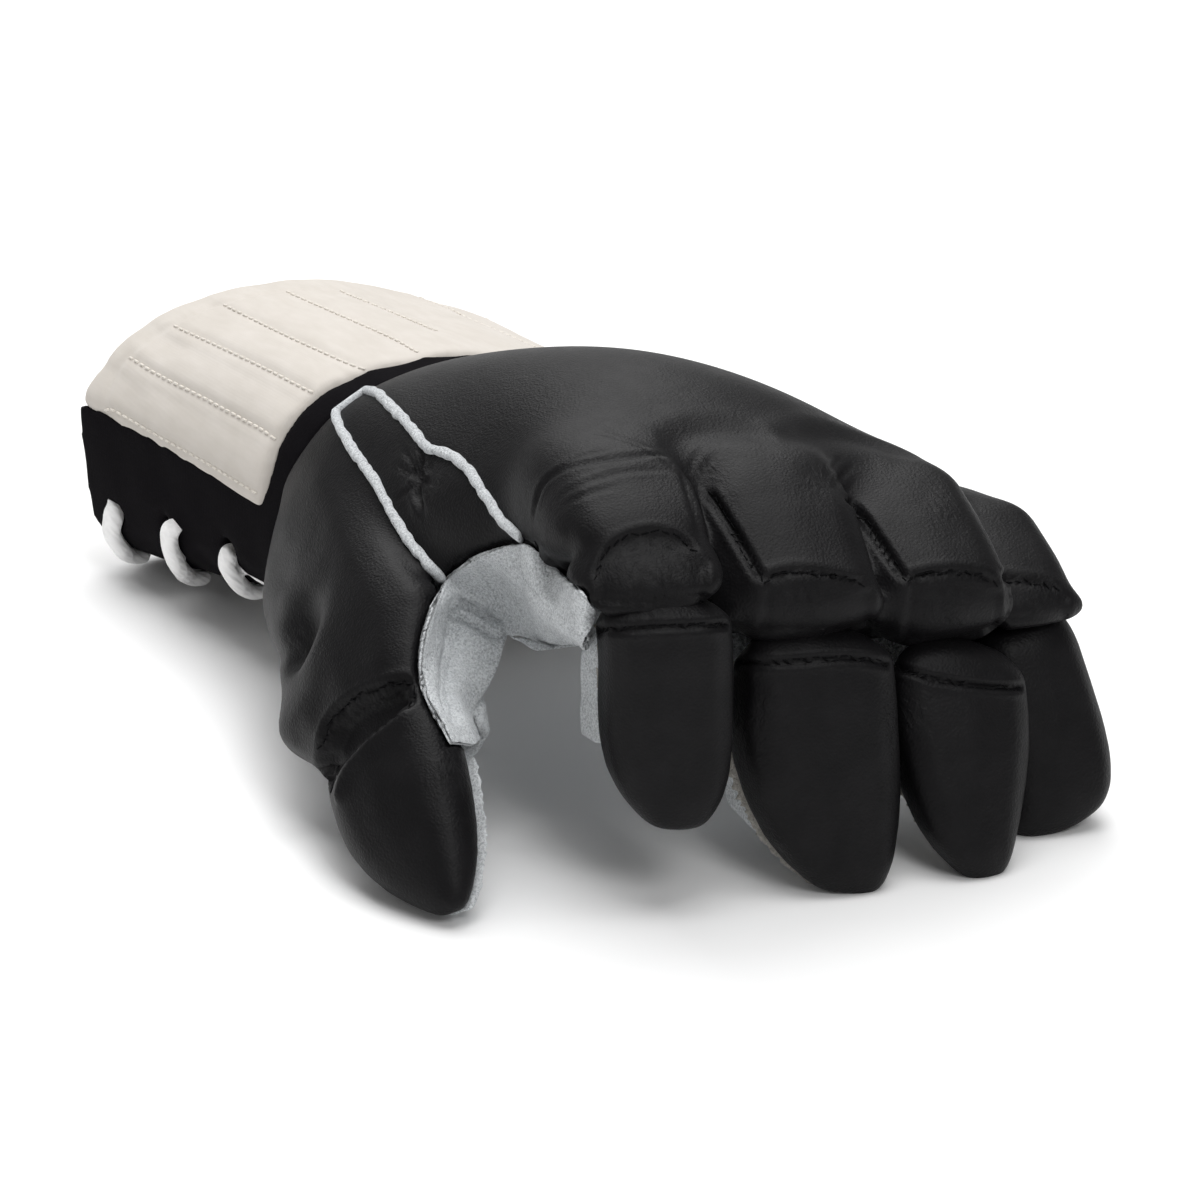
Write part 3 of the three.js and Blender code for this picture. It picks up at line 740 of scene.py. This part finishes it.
# Folds of the web: width and depth in millimetres, and their pixels
WEB_FOLDS = [
    (1.9, 3.8, [(452, 603), (462, 611), (478, 620), (494, 628), (505, 632)]),
    (1.8, 1.2, [(458, 617), (448, 657), (446, 690), (454, 725)]),
    (0.8, 0.5, [(513, 551), (518, 562), (523, 576), (532, 594), (543, 607), (556, 619)]),
]
SUEDE_THICK = 1.4
# The web stands this far out of the leather, and is this hollow between its fold and its hem
WEB_PROUD = 0.3
WEB_HOLLOW = 1.5
WEB_ROWS = 64
WEB_STEP = 0.5
# How far behind the web the leather stays, and how far off the web it is looked for
WEB_ROOM = 1.3
WEB_REACH = 7
# The web's nap and its unevenness: the size and height of the lumps, and the seed
WEB_ROUGHNESS = ((0.8, 0.22, 5), (6, 0.4, 2))
# Creases that the leather folds into: how far their ends run out, and for each the width, depth and
# raised sides in millimetres, and its pixels
CREASE_TAPER = 8
CREASES = [
    (0.9, 0.6, 0.15, [(533, 531), (534, 511), (543, 484), (564, 469), (600, 460), (640, 456), (672, 454)]),
    (0.8, 0.4, 0.12, [(556, 500), (570, 490), (590, 481), (618, 473), (645, 470), (672, 471)]),
    (0.8, 0.35, 0.1, [(551, 480), (564, 465), (585, 456), (618, 449)]),
    (0.8, 0.35, 0.1, [(560, 508), (576, 499), (598, 491), (625, 486)]),
    (0.9, 0.9, 0.3, [(681, 470), (686, 484), (692, 502), (698, 522), (701, 540)]),
    (0.7, 0.35, 0.15, [(589, 432), (610, 436), (640, 446), (664, 460), (680, 476)]),
    (0.6, 0.3, 0.15, [(690, 470), (697, 455), (708, 444)]),
    (0.6, 0.3, 0.15, [(698, 478), (709, 462), (722, 452)]),
    (0.6, 0.3, 0.15, [(826, 478), (832, 466), (842, 457)]),
    (0.6, 0.3, 0.15, [(835, 488), (844, 474), (856, 464)]),
    (0.9, 1.5, 0.4, [(423, 448), (419, 460), (416, 475), (416, 492), (424, 516)]),
    (0.7, 0.9, 0.3, [(398, 462), (406, 470), (414, 476), (424, 490), (430, 500)]),
    (0.7, 0.9, 0.3, [(434, 460), (425, 470), (416, 479), (404, 492), (396, 500)]),
    (0.7, 0.8, 0.3, [(404, 448), (410, 460), (417, 474), (428, 482), (440, 486)]),
    (1.1, 1.3, 0.1, [(594, 581), (598, 570), (611, 550), (630, 539), (654, 534), (678, 539), (698, 552)]),
    (3.2, 0.5, 0.3, [(600, 427), (636, 437), (666, 447), (684, 437), (708, 432), (744, 434), (780, 442)]),
    (3.2, 0.5, 0.3, [(780, 442), (810, 438), (840, 438), (876, 446), (918, 461)]),
    (2.6, 2.2, 0.3, [(302, 636), (296, 643), (291, 649), (287, 655)]),
]

# The welt round the panel: half its width and by how much that varies, its height, how far its middle
# stands out of the leather, how far it wanders, and the step between its points, in millimetres
WELT_HALF = 1.2
WELT_UNEVEN = 0.3
WELT_HIGH = 1.1
WELT_PROUD = 0.4
WELT_WANDER = 0.5
WELT_STEP = 0.6
WANDER_PACE = 0.21
WANDER_SEED = 7.3
# Its pixels from the thumb's side over its back end to the hand's side
WELT = [
    (447, 582), (432, 569), (412, 544), (393, 513), (374, 479), (355, 452), (338, 420), (341, 400),
    (355, 393), (374, 393), (386, 402), (405, 421), (416, 433), (428, 448), (451, 456), (470, 471),
    (485, 494), (504, 521), (522, 537),
]


def web_grid(tree):
    """The middle of the suede web as a grid of points, from its outer edge to its hem."""
    columns = []
    for (u, v, y), fold, hem in WEB:
        place, out = shown(tree, u, v)
        outer = at_depth(u, v, y) if place is None else place + WEB_PROUD * out
        bend, end = at_depth(*fold), at_depth(*hem)
        inner = 0.5 * (bend + end) - WEB_HOLLOW * BACK
        column = curve_through([outer, 0.55 * outer + 0.45 * bend, bend, inner, end], 1.0)
        columns.append(counted(column, WEB_ROWS).ravel())
    columns = curve_through(columns, WEB_STEP * math.sqrt(WEB_ROWS))
    return columns.reshape(len(columns), WEB_ROWS, 3)


def grid_faces(rows, columns):
    """Faces between the points of a grid."""
    corner = np.arange((rows - 1) * columns).reshape(rows - 1, columns)[:, :-1].ravel()
    return np.stack([corner, corner + columns, corner + columns + 1, corner + 1], axis=1)


def sheet_tree(grid):
    """The middle of a sheet to look up places in, its faces turned to the camera, and two corners."""
    points = grid.reshape(-1, 3)
    faces = grid_faces(*grid.shape[:2])
    corner = points[faces]
    across = np.cross(corner[:, 2] - corner[:, 0], corner[:, 3] - corner[:, 1])
    faces = faces if (across @ BACK).sum() > 0 else faces[:, ::-1]
    return BVHTree.FromPolygons(points.tolist(), faces.tolist()), points.min(0), points.max(0)


def sheet_of(grid, thick):
    """A closed sheet about a grid of points."""
    rows, columns = grid.shape[:2]
    count = rows * columns
    middle = Shape(grid.reshape(-1, 3), grid_faces(rows, columns))
    side = thick / 2 * middle.normals()
    numbers = np.arange(count).reshape(rows, columns)
    ring = np.concatenate([numbers[0], numbers[1:, -1], numbers[-1, -2::-1], numbers[-2:0:-1, 0]])
    ahead = np.roll(ring, -1)
    walls = np.stack([ring + count, ahead + count, ahead, ring], axis=1)
    points = np.vstack([middle.points + side, middle.points - side])
    return Shape(points, np.vstack([middle.faces, middle.faces[:, ::-1] + count, walls]))


def web_sheet(grid):
    shape = sheet_of(grid, SUEDE_THICK).relax(2)
    tree = shape.tree()
    for width, depth, pixels in WEB_FOLDS:
        shape.groove(traced(tree, pixels), width, depth, 0.2 * depth, taper=4)
    for roughness in WEB_ROUGHNESS:
        shape.rough(*roughness)
    made = shaped("web_sheet", shape, SUEDE, "suede", ["web"])


def back_copies():
    """The solids under the leather, and copies of the pads that fill the hollows it spans."""
    copies = [(node, (0, 0, 0), OVERLAP) for node in BACK_NODES]
    copies.append(("piping", PIPING_MOVE, PIPING_GROWTH))
    for finger in FINGERS:
        copies += [(finger + "_root_pad", run_on(finger, *step), OVERLAP) for step in RUN_ON]
        slopes = INDEX_SLOPES if finger == "index" else SLOPES
        copies += [(finger + "_root_pad", step, 0) for step in slopes]
    copies += [(finger + "_knuckle_pad", move, 0) for finger, move in KNUCKLE_FILLS.items()]
    copies += [(node, WRIST_FILL, 0) for node in ("hand_back", "thumb_base_pad")]
    return copies


def even_back():
    """The leather drawn over its padding, without seams and creases."""
    shape = remeshed(back_copies(), BACK_VOXEL).relax(BACK_ROUNDS)
    x, y, _ = shape.points.T
    behind = smooth_step((y - np.interp(x, *zip(*RISES))) / SMOOTH_BEHIND)
    from_corner = np.linalg.norm(pixels_of(shape.points) - WELT[0], axis=1)
    share = behind * rise_between(x, *SMOOTH_ASIDE) * rise_between(from_corner, *SMOOTH_CORNER)
    return shape.relax(SMOOTH_ROUNDS, share).swell(BACK_SWELL)


def leather_back():
    shape = even_back()
    tree = shape.tree()
    seams = [traced(tree, pixels) for pixels in SEAMS.values()]
    for width, depth, lip, pixels in CREASES:
        shape.groove(traced(tree, pixels), width, depth, lip, CREASE_TAPER)
    for pull in PULLS:
        shape.pulled(*pull)
    for (u, v), radius, depth in DENTS:
        shape.dent(shown(tree, u, v)[0], radius, depth)
    for outline, depth, edge in RECESSES:
        shape.inset(outline, depth, edge)
    shape.groove(traced(tree, ROLL), ROLL_WIDTH, -ROLL_HEIGHT)
    for path in seams:
        shape.groove(path, *BACK_SEAM, crisp=BACK_CRISP)
    web = web_grid(tree)
    shape.tucked(*sheet_tree(web), WEB_ROOM, WEB_REACH)
    web_sheet(web)
    rows = stitches(shape.tree(), seams, *LEATHER_STITCH)
    piece("back_stitches", *rows, BLACK_THREAD, "leather")
    leather("leather_back", shape, BACK_NODES)
    return shape


def swept(path, outs, half, high, sides=10):
    """Points and faces of a strip along a path: half its width at each point, and its height."""
    ahead = unit(np.gradient(path, axis=0))
    aside = unit(np.cross(ahead, outs))
    angles = np.linspace(0, 2 * np.pi, sides, endpoint=False)
    rings = []
    for place, side, out, width in zip(path, aside, outs, half):
        across = width * np.outer(np.cos(angles), side)
        rings.append(place + across + high * np.outer(np.sin(angles), out))
    faces = []
    for ring in range(len(path) - 1):
        for k in range(sides):
            a = ring * sides + k
            b = ring * sides + (k + 1) % sides
            faces.append([a, b, b + sides, a + sides])
    last = (len(path) - 1) * sides
    faces += [list(range(sides - 1, -1, -1)), list(range(last, last + sides))]
    return np.vstack(rings), faces


def outs_along(tree, path):
    """The direction out of a shape next to each point of a path."""
    return np.array([tree.find_nearest(Vector(place))[1] for place in path])


def wander(count, row):
    """Smooth noise for each of a number of points in line."""
    return np.array([noise.noise(Vector((WANDER_PACE * k, row, WANDER_SEED))) for k in range(count)])


def welt(tree):
    """The suede welt round the panel, uneven in its width and its course."""
    path = traced(tree, WELT, WELT_STEP)
    outs = unit(outs_along(tree, path))
    outs = unit(sum(np.roll(outs, k, axis=0) for k in range(-4, 5)))
    aside = WELT_WANDER * wander(len(path), 0)[:, None] * np.cross(np.gradient(path, axis=0), outs)
    half = WELT_HALF + WELT_UNEVEN * wander(len(path), 4)
    points, faces = swept(path + WELT_PROUD * outs + aside, outs, half, WELT_HIGH)
    piece("welt", points, faces, SUEDE, "suede", ["piping"])


# The stuffed tips: the voxels, the rounds that even them out, their swelling, and their seam's groove
TIP_VOXEL = 0.75
TIP_ROUNDS = 18
TIP_SWELL = 0.45
TIP_SEAM = (0.7, 1.2, 0.3)
TIP_TAPER = 1
TIP_CRISP = 0.9
# How the outline of each tip is pulled, each row from one pixel to another
TIP_PULLS = {
    "index": [
        (593, 640, 598, 634), (601, 730, 605, 724), (625, 802, 625, 797), (664, 826, 670, 829),
        (712, 802, 718, 805), (737, 730, 735, 732), (737, 640, 731, 632), (612, 620, 603, 609),
        (634, 610, 634, 599), (673, 605, 668, 594), (712, 604, 706, 600),
    ],
    "middle": [
        (742, 670, 737, 667), (751, 730, 738, 735), (778, 820, 774, 826), (832, 891, 831, 890),
        (874, 874, 877, 882), (892, 832, 892, 832), (900, 730, 899, 740), (892, 658, 892, 664),
        (772, 640, 760, 636), (825, 634, 818, 632), (874, 631, 872, 640),
    ],
    "ring": [
        (897, 658, 896, 672), (916, 643, 907, 651), (955, 637, 948, 642), (994, 631, 998, 652),
        (1018, 652, 1023, 680), (1037, 748, 1029, 755), (1035, 832, 1014, 838), (988, 873, 981, 878),
        (934, 832, 931, 838), (904, 748, 900, 748),
    ],
    "little": [
        (1030, 619, 1012, 614), (1063, 620, 1042, 609), (1096, 625, 1069, 617), (1102, 634, 1078, 638),
        (1102, 730, 1106, 735), (1087, 796, 1101, 802), (1066, 826, 1064, 829), (1040, 800, 1040, 805),
    ],
}
# The seam under its cap, as pixels. The little finger's isn't seen.
TIP_SEAMS = {
    "index": [(597, 631), (608, 630), (633, 629), (662, 627), (688, 626), (712, 625), (729, 625)],
    "middle": [(736, 662), (747, 663), (762, 663), (799, 661), (836, 658), (866, 659), (890, 665)],
    "ring": [(896, 667), (914, 673), (940, 680), (966, 684), (995, 687), (1023, 688)],
}


def stuffed_tip(finger):
    node = finger + "_tip_pad"
    shape = remeshed([(node, (0, 0, 0), 0)], TIP_VOXEL).relax(TIP_ROUNDS).swell(TIP_SWELL)
    shape.nudged(TIP_PULLS[finger])
    if finger in TIP_SEAMS:
        path = traced(shape.tree(), TIP_SEAMS[finger])
        shape.groove(path, *TIP_SEAM, TIP_TAPER, TIP_CRISP)
        rows = stitches(shape.tree(), [path], *LEATHER_STITCH)
        piece(finger + "_tip_stitches", *rows, BLACK_THREAD, "leather")
    leather(finger + "_tip", shape, [node])


# Sheets of suede: the voxels, how far they are grown, the rounds that even them out, and their
# unevenness as the size and height of the lumps and the seed
SUEDE_VOXEL = 0.7
PALM_VOXEL = 0.9
SUEDE_GROWTH = 0.1
SUEDE_ROUNDS = 3
SUEDE_ROUGHNESS = (5, 0.35, 3)
# The middle finger's backing shows past its tip, and its tube hangs down beside it
BACKING_SHIFT = {"middle": (-1.4, 0, -0.5)}
TUBE_MOVES = {
    "middle": [
        (731, 755, 748, 792), (781, 749, 790, 826), (700, 560, 700, 560), (830, 600, 830, 600),
        (712, 650, 712, 650), (837, 700, 837, 700),
    ],
}


def suede_sheet(name, node, look=SUEDE, voxel=SUEDE_VOXEL, moves=None, shift=(0, 0, 0)):
    """A sheet of suede in the place of a node, shifted, and bent if there are moves."""
    shape = remeshed([(node, shift, SUEDE_GROWTH)], voxel).relax(SUEDE_ROUNDS)
    shape.rough(*SUEDE_ROUGHNESS).swell(SUEDE_GROWTH)
    if moves:
        shape.nudged(moves)
    made = shaped(name, shape, look, "suede", [node])


back = leather_back()
welt(back.tree())
for finger in FINGERS:
    stuffed_tip(finger)
    shift = BACKING_SHIFT.get(finger, (0, 0, 0))
    suede_sheet(finger + "_tip_back", finger + "_backing", BACKING, moves=TIP_PULLS[finger], shift=shift)
    suede_sheet(finger + "_tube", finger + "_sleeve", moves=TUBE_MOVES.get(finger))
suede_sheet("thumb_tip_back", "thumb_backing")
suede_sheet("thumb_tube", "thumb_sleeve")
suede_sheet("palm_sheet", "palm", voxel=PALM_VOXEL)

# The cuff

# Rows of stitches along the quilted channels, as pixels
CHANNELS = [
    [(104, 411), (112, 410), (157, 436), (202, 461), (245, 487), (259, 494)],
    [(128, 356), (157, 374), (202, 397), (235, 415), (259, 428), (278, 441)],
    [(173, 325), (223, 348), (271, 371), (315, 394)],
    [(223, 304), (282, 333), (330, 355), (367, 371)],
    [(286, 291), (341, 315), (393, 338), (419, 353)],
    [(339, 290), (393, 312), (438, 331)],
]
# The rows on the far side, as degrees round the cuff's middle, which is its x and z, and the y of
# their ends
FAR_CHANNELS = (45, 23, 11)
CUFF_MIDDLE = (4.5, 30)
CHANNEL_ENDS = (50, 128)
CHANNEL_POINTS = 40
OUTSIDE = 200
# The width, depth and raised sides of the grooves of the rows and of the seam inside the rim
CHANNEL_GROOVE = (1.1, 0.3, 0.1)
RIM_GROOVE = (1.2, 0.35, 0.1)
# The rim is evened out by a curve of this order through its tops, found in steps of degrees. The share
# of that grows between these values of y, and between these heights over the tops
RIM_FROM = 104
RIM_TO = 112
RIM_HEIGHTS = (-3.9, -0.9)
RIM_STEP = 2
RIM_ORDER = 4
RIM_SEAM = [(103, 409), (111, 383), (127, 357), (171, 325), (223, 303), (282, 291), (339, 289)]
# The loops of the lace that show, each from its eyelet to the cloth's lower edge
LOOPS = [
    [(116, 504), (115, 515), (119, 532), (131, 549)],
    [(177, 524), (176, 537), (181, 557), (194, 575)],
    [(233, 551), (234, 562), (242, 576), (256, 588)],
]
# The lace's width, its height, how far its middle passes over the cloth, where it runs on under the
# cloth from the end of each loop, and the move of its solid
LACE_WIDE = 5.6
LACE_HIGH = 4.2
LACE_OVER = 1.9
LACE_UNDER = ((2.5, 0.6, -1.5), (6, 1.5, -2))
LACE_SHIFT = (6.5, 0, 0.6)
LACE_VOXEL = 0.6
LACE_ROUNDS = 8
# The lace starts this far inside the cloth, comes out this far, and clears the floor by this much
LACE_INSIDE = 3
LACE_OUT = 0.6
LACE_CLEAR = 0.2
# The canvas: the voxels, its growth, the rounds that even it out and its swelling
QUILT_VOXEL = 0.9
QUILT_GROWTH = 0.5
QUILT_ROUNDS = 30
QUILT_SWELL = 0.6
# The black cloth, made of two copies so that it is thick enough to mesh: the voxels, the rise and
# growth of the second, the rounds that even it out, and the size and height of its lumps
CLOTH_VOXEL = 1.1
CLOTH_SECOND = ((0, 0, 1.0), -0.4)
CLOTH_ROUNDS = 6
CLOTH_ROUGHNESS = (12, 0.6)
# Its free edges hang this much lower than its solid, more and more between these heights
CLOTH_SAG = 4.0
SAG_HEIGHTS = (26, 6)
# How the canvas is pulled into its outline, each row from one pixel to another
QUILT_PULL = [
    (88, 410, 87, 408), (138, 432, 140, 439), (200, 462, 201, 471), (265, 494, 261, 505),
    (277, 447, 275, 448), (304, 406, 304, 406), (337, 381, 337, 381), (374, 365, 372, 369),
    (436, 352, 438, 354), (88, 396, 86, 396), (96, 373, 98, 374), (103, 362, 105, 363),
    (109, 352, 112, 354), (117, 341, 121, 344), (131, 330, 134, 333), (145, 319, 148, 323),
    (163, 307, 166, 313), (187, 299, 189, 303), (211, 288, 213, 294), (235, 284, 236, 288),
    (271, 279, 271, 282), (308, 277, 308, 280), (344, 280, 344, 281), (380, 282, 379, 287),
    (416, 288, 414, 295),
]
# The same for the black cloth
CLOTH_PULL = [
    (89, 410, 80, 408), (86, 434, 82, 434), (90, 475, 91, 475), (101, 517, 103, 520),
    (145, 552, 145, 552), (233, 577, 233, 577), (266, 590, 266, 590), (200, 471, 200, 471),
    (265, 500, 265, 500), (300, 300, 300, 300), (430, 300, 430, 300),
]


def lace_loops(tree):
    """Tubes along the loops, which start inside the cloth and end under it."""
    tubes = []
    for pixels in LOOPS:
        path = traced(tree, pixels, 2)
        outs = outs_along(tree, path)
        over = path + LACE_OVER * outs
        under = over[-1] + LACE_UNDER
        start = [path[0] - LACE_INSIDE * outs[0], path[0] + LACE_OUT * outs[0]]
        route = even(curve_through([*start, *over[1:], *under], 0.5), 0.8)
        route[:, 2] = np.maximum(route[:, 2], LACE_WIDE / 2 + LACE_CLEAR)
        outs = unit(outs_along(tree, route))
        tubes.append(swept(route, outs, np.full(len(route), LACE_WIDE / 2), LACE_HIGH / 2, 16))
    return tubes


def far_channel(tree, degrees):
    """A line along the cuff at an angle round it."""
    way = np.array([math.cos(math.radians(degrees)), 0, math.sin(math.radians(degrees))])
    found = []
    for y in np.linspace(*CHANNEL_ENDS, CHANNEL_POINTS):
        middle = np.array([CUFF_MIDDLE[0], y, CUFF_MIDDLE[1]])
        hit, *_ = tree.ray_cast(Vector(middle + OUTSIDE * way), Vector(-way))
        if hit is not None:
            found.append(np.array(hit))
    return np.array(found)


def even_rim(shape):
    """Fills the channels where they run out at the cuff's rim."""
    across = shape.points[:, [0, 2]] - CUFF_MIDDLE
    angle = np.degrees(np.arctan2(across[:, 1], across[:, 0]))
    radius = np.hypot(*across.T)
    steps = np.arange(angle.min(), angle.max(), RIM_STEP) + RIM_STEP / 2
    at_rim = shape.points[:, 1] > RIM_FROM
    tops = []
    for step in steps:
        tops.append(radius[at_rim & (np.abs(angle - step) < RIM_STEP)].max())
    even_tops = np.polyval(np.polyfit(steps, tops, RIM_ORDER), steps)
    rise = np.interp(angle, steps, even_tops - tops)
    rise *= rise_between(shape.points[:, 1], RIM_FROM, RIM_TO)
    rise *= rise_between(radius - np.interp(angle, steps, tops), *RIM_HEIGHTS)
    shape.points[:, [0, 2]] += (rise / radius)[:, None] * across
    return shape


def quilt():
    shape = remeshed([("cuff_quilt", (0, 0, 0), QUILT_GROWTH)], QUILT_VOXEL)
    shape.relax(QUILT_ROUNDS).swell(QUILT_SWELL)
    even_rim(shape).nudged(QUILT_PULL)
    tree = shape.tree()
    rows = [traced(tree, pixels) for pixels in CHANNELS]
    rows += [far_channel(tree, degrees) for degrees in FAR_CHANNELS]
    for path in rows:
        shape.groove(path, *CHANNEL_GROOVE)
    shape.groove(traced(tree, RIM_SEAM), *RIM_GROOVE)
    made = shaped("quilt", shape, CANVAS, "canvas", ["cuff_quilt"])
    rows = stitches(shape.tree(), rows, *QUILT_STITCH)
    piece("quilt_stitches", *rows, CREAM_THREAD, "canvas")


def cuff_side():
    copies = [("cuff_cloth", (0, 0, 0), 0), ("cuff_cloth", *CLOTH_SECOND)]
    shape = remeshed(copies, CLOTH_VOXEL).relax(CLOTH_ROUNDS).rough(*CLOTH_ROUGHNESS)
    shape.nudged(CLOTH_PULL)
    shape.points[:, 2] -= CLOTH_SAG * rise_between(shape.points[:, 2], *SAG_HEIGHTS)
    made = shaped("cuff_side", shape, CLOTH, "black_cloth", ["cuff_cloth"])
    return shape


def lace_cord(cloth):
    """The lace through the cloth, its loops on the thumb's side joined to the stretch inside."""
    shape = remeshed([("lace", LACE_SHIFT, 0)], LACE_VOXEL, lace_loops(cloth)).relax(LACE_ROUNDS)
    shaped("lace_cord", shape, COTTON, "cotton", ["lace"])


quilt()
lace_cord(cuff_side().tree())

# Floor, lights, camera


# Half the floor's width, in metres
FLOOR_HALF = 4.0


def floor():
    mesh = bpy.data.meshes.new("floor")
    corners = [(x * FLOOR_HALF, y * FLOOR_HALF, 0) for x, y in ((-1, -1), (1, -1), (1, 1), (-1, 1))]
    mesh.from_pydata(corners, [], [(0, 1, 2, 3)])
    look = Look("floor", 0.85, Specular_IOR_Level=0.1)
    grain = look.noise(120, 2)
    mesh.materials.append(look.done(look.colours(grain, (0.94, 0.94, 0.94), (0.96, 0.96, 0.96))))
    placed("floor", mesh)


# Soft lights: where each stands and how wide it is, in metres, and its power in watts
LIGHTS = {
    "over_the_back": ((0.3, 1.05, 1.6), 1.5, 26),
    "low_behind": ((0.8, 1.9, 0.75), 0.9, 1.8),
    "overhead": ((0.1, -0.3, 1.9), 1.2, 19),
    "fill_left": ((-1.3, 0.1, 0.5), 0.8, 0.9),
    "fill_front": ((-0.1, -1.5, 1.3), 0.6, 9),
}
# What they shine at, and the strength of the white that surrounds all
AIM = Vector((0, -0.02, 0.03))
SURROUNDINGS = 0.27


def lights():
    for name, (place, width, watts) in LIGHTS.items():
        data = bpy.data.lights.new(name, "AREA")
        data.size = width
        data.energy = watts
        made = placed(name, data)
        made.location = place
        made.rotation_euler = (Vector(place) - AIM).to_track_quat("Z", "Y").to_euler()
    world = bpy.data.worlds.new("world")
    world.use_nodes = True
    background = world.node_tree.nodes["Background"]
    background.inputs["Color"].default_value = (1, 1, 1, 1)
    background.inputs["Strength"].default_value = SURROUNDINGS
    bpy.context.scene.world = world
    bpy.context.scene.view_settings.view_transform = "Standard"


floor()
lights()
add_camera()
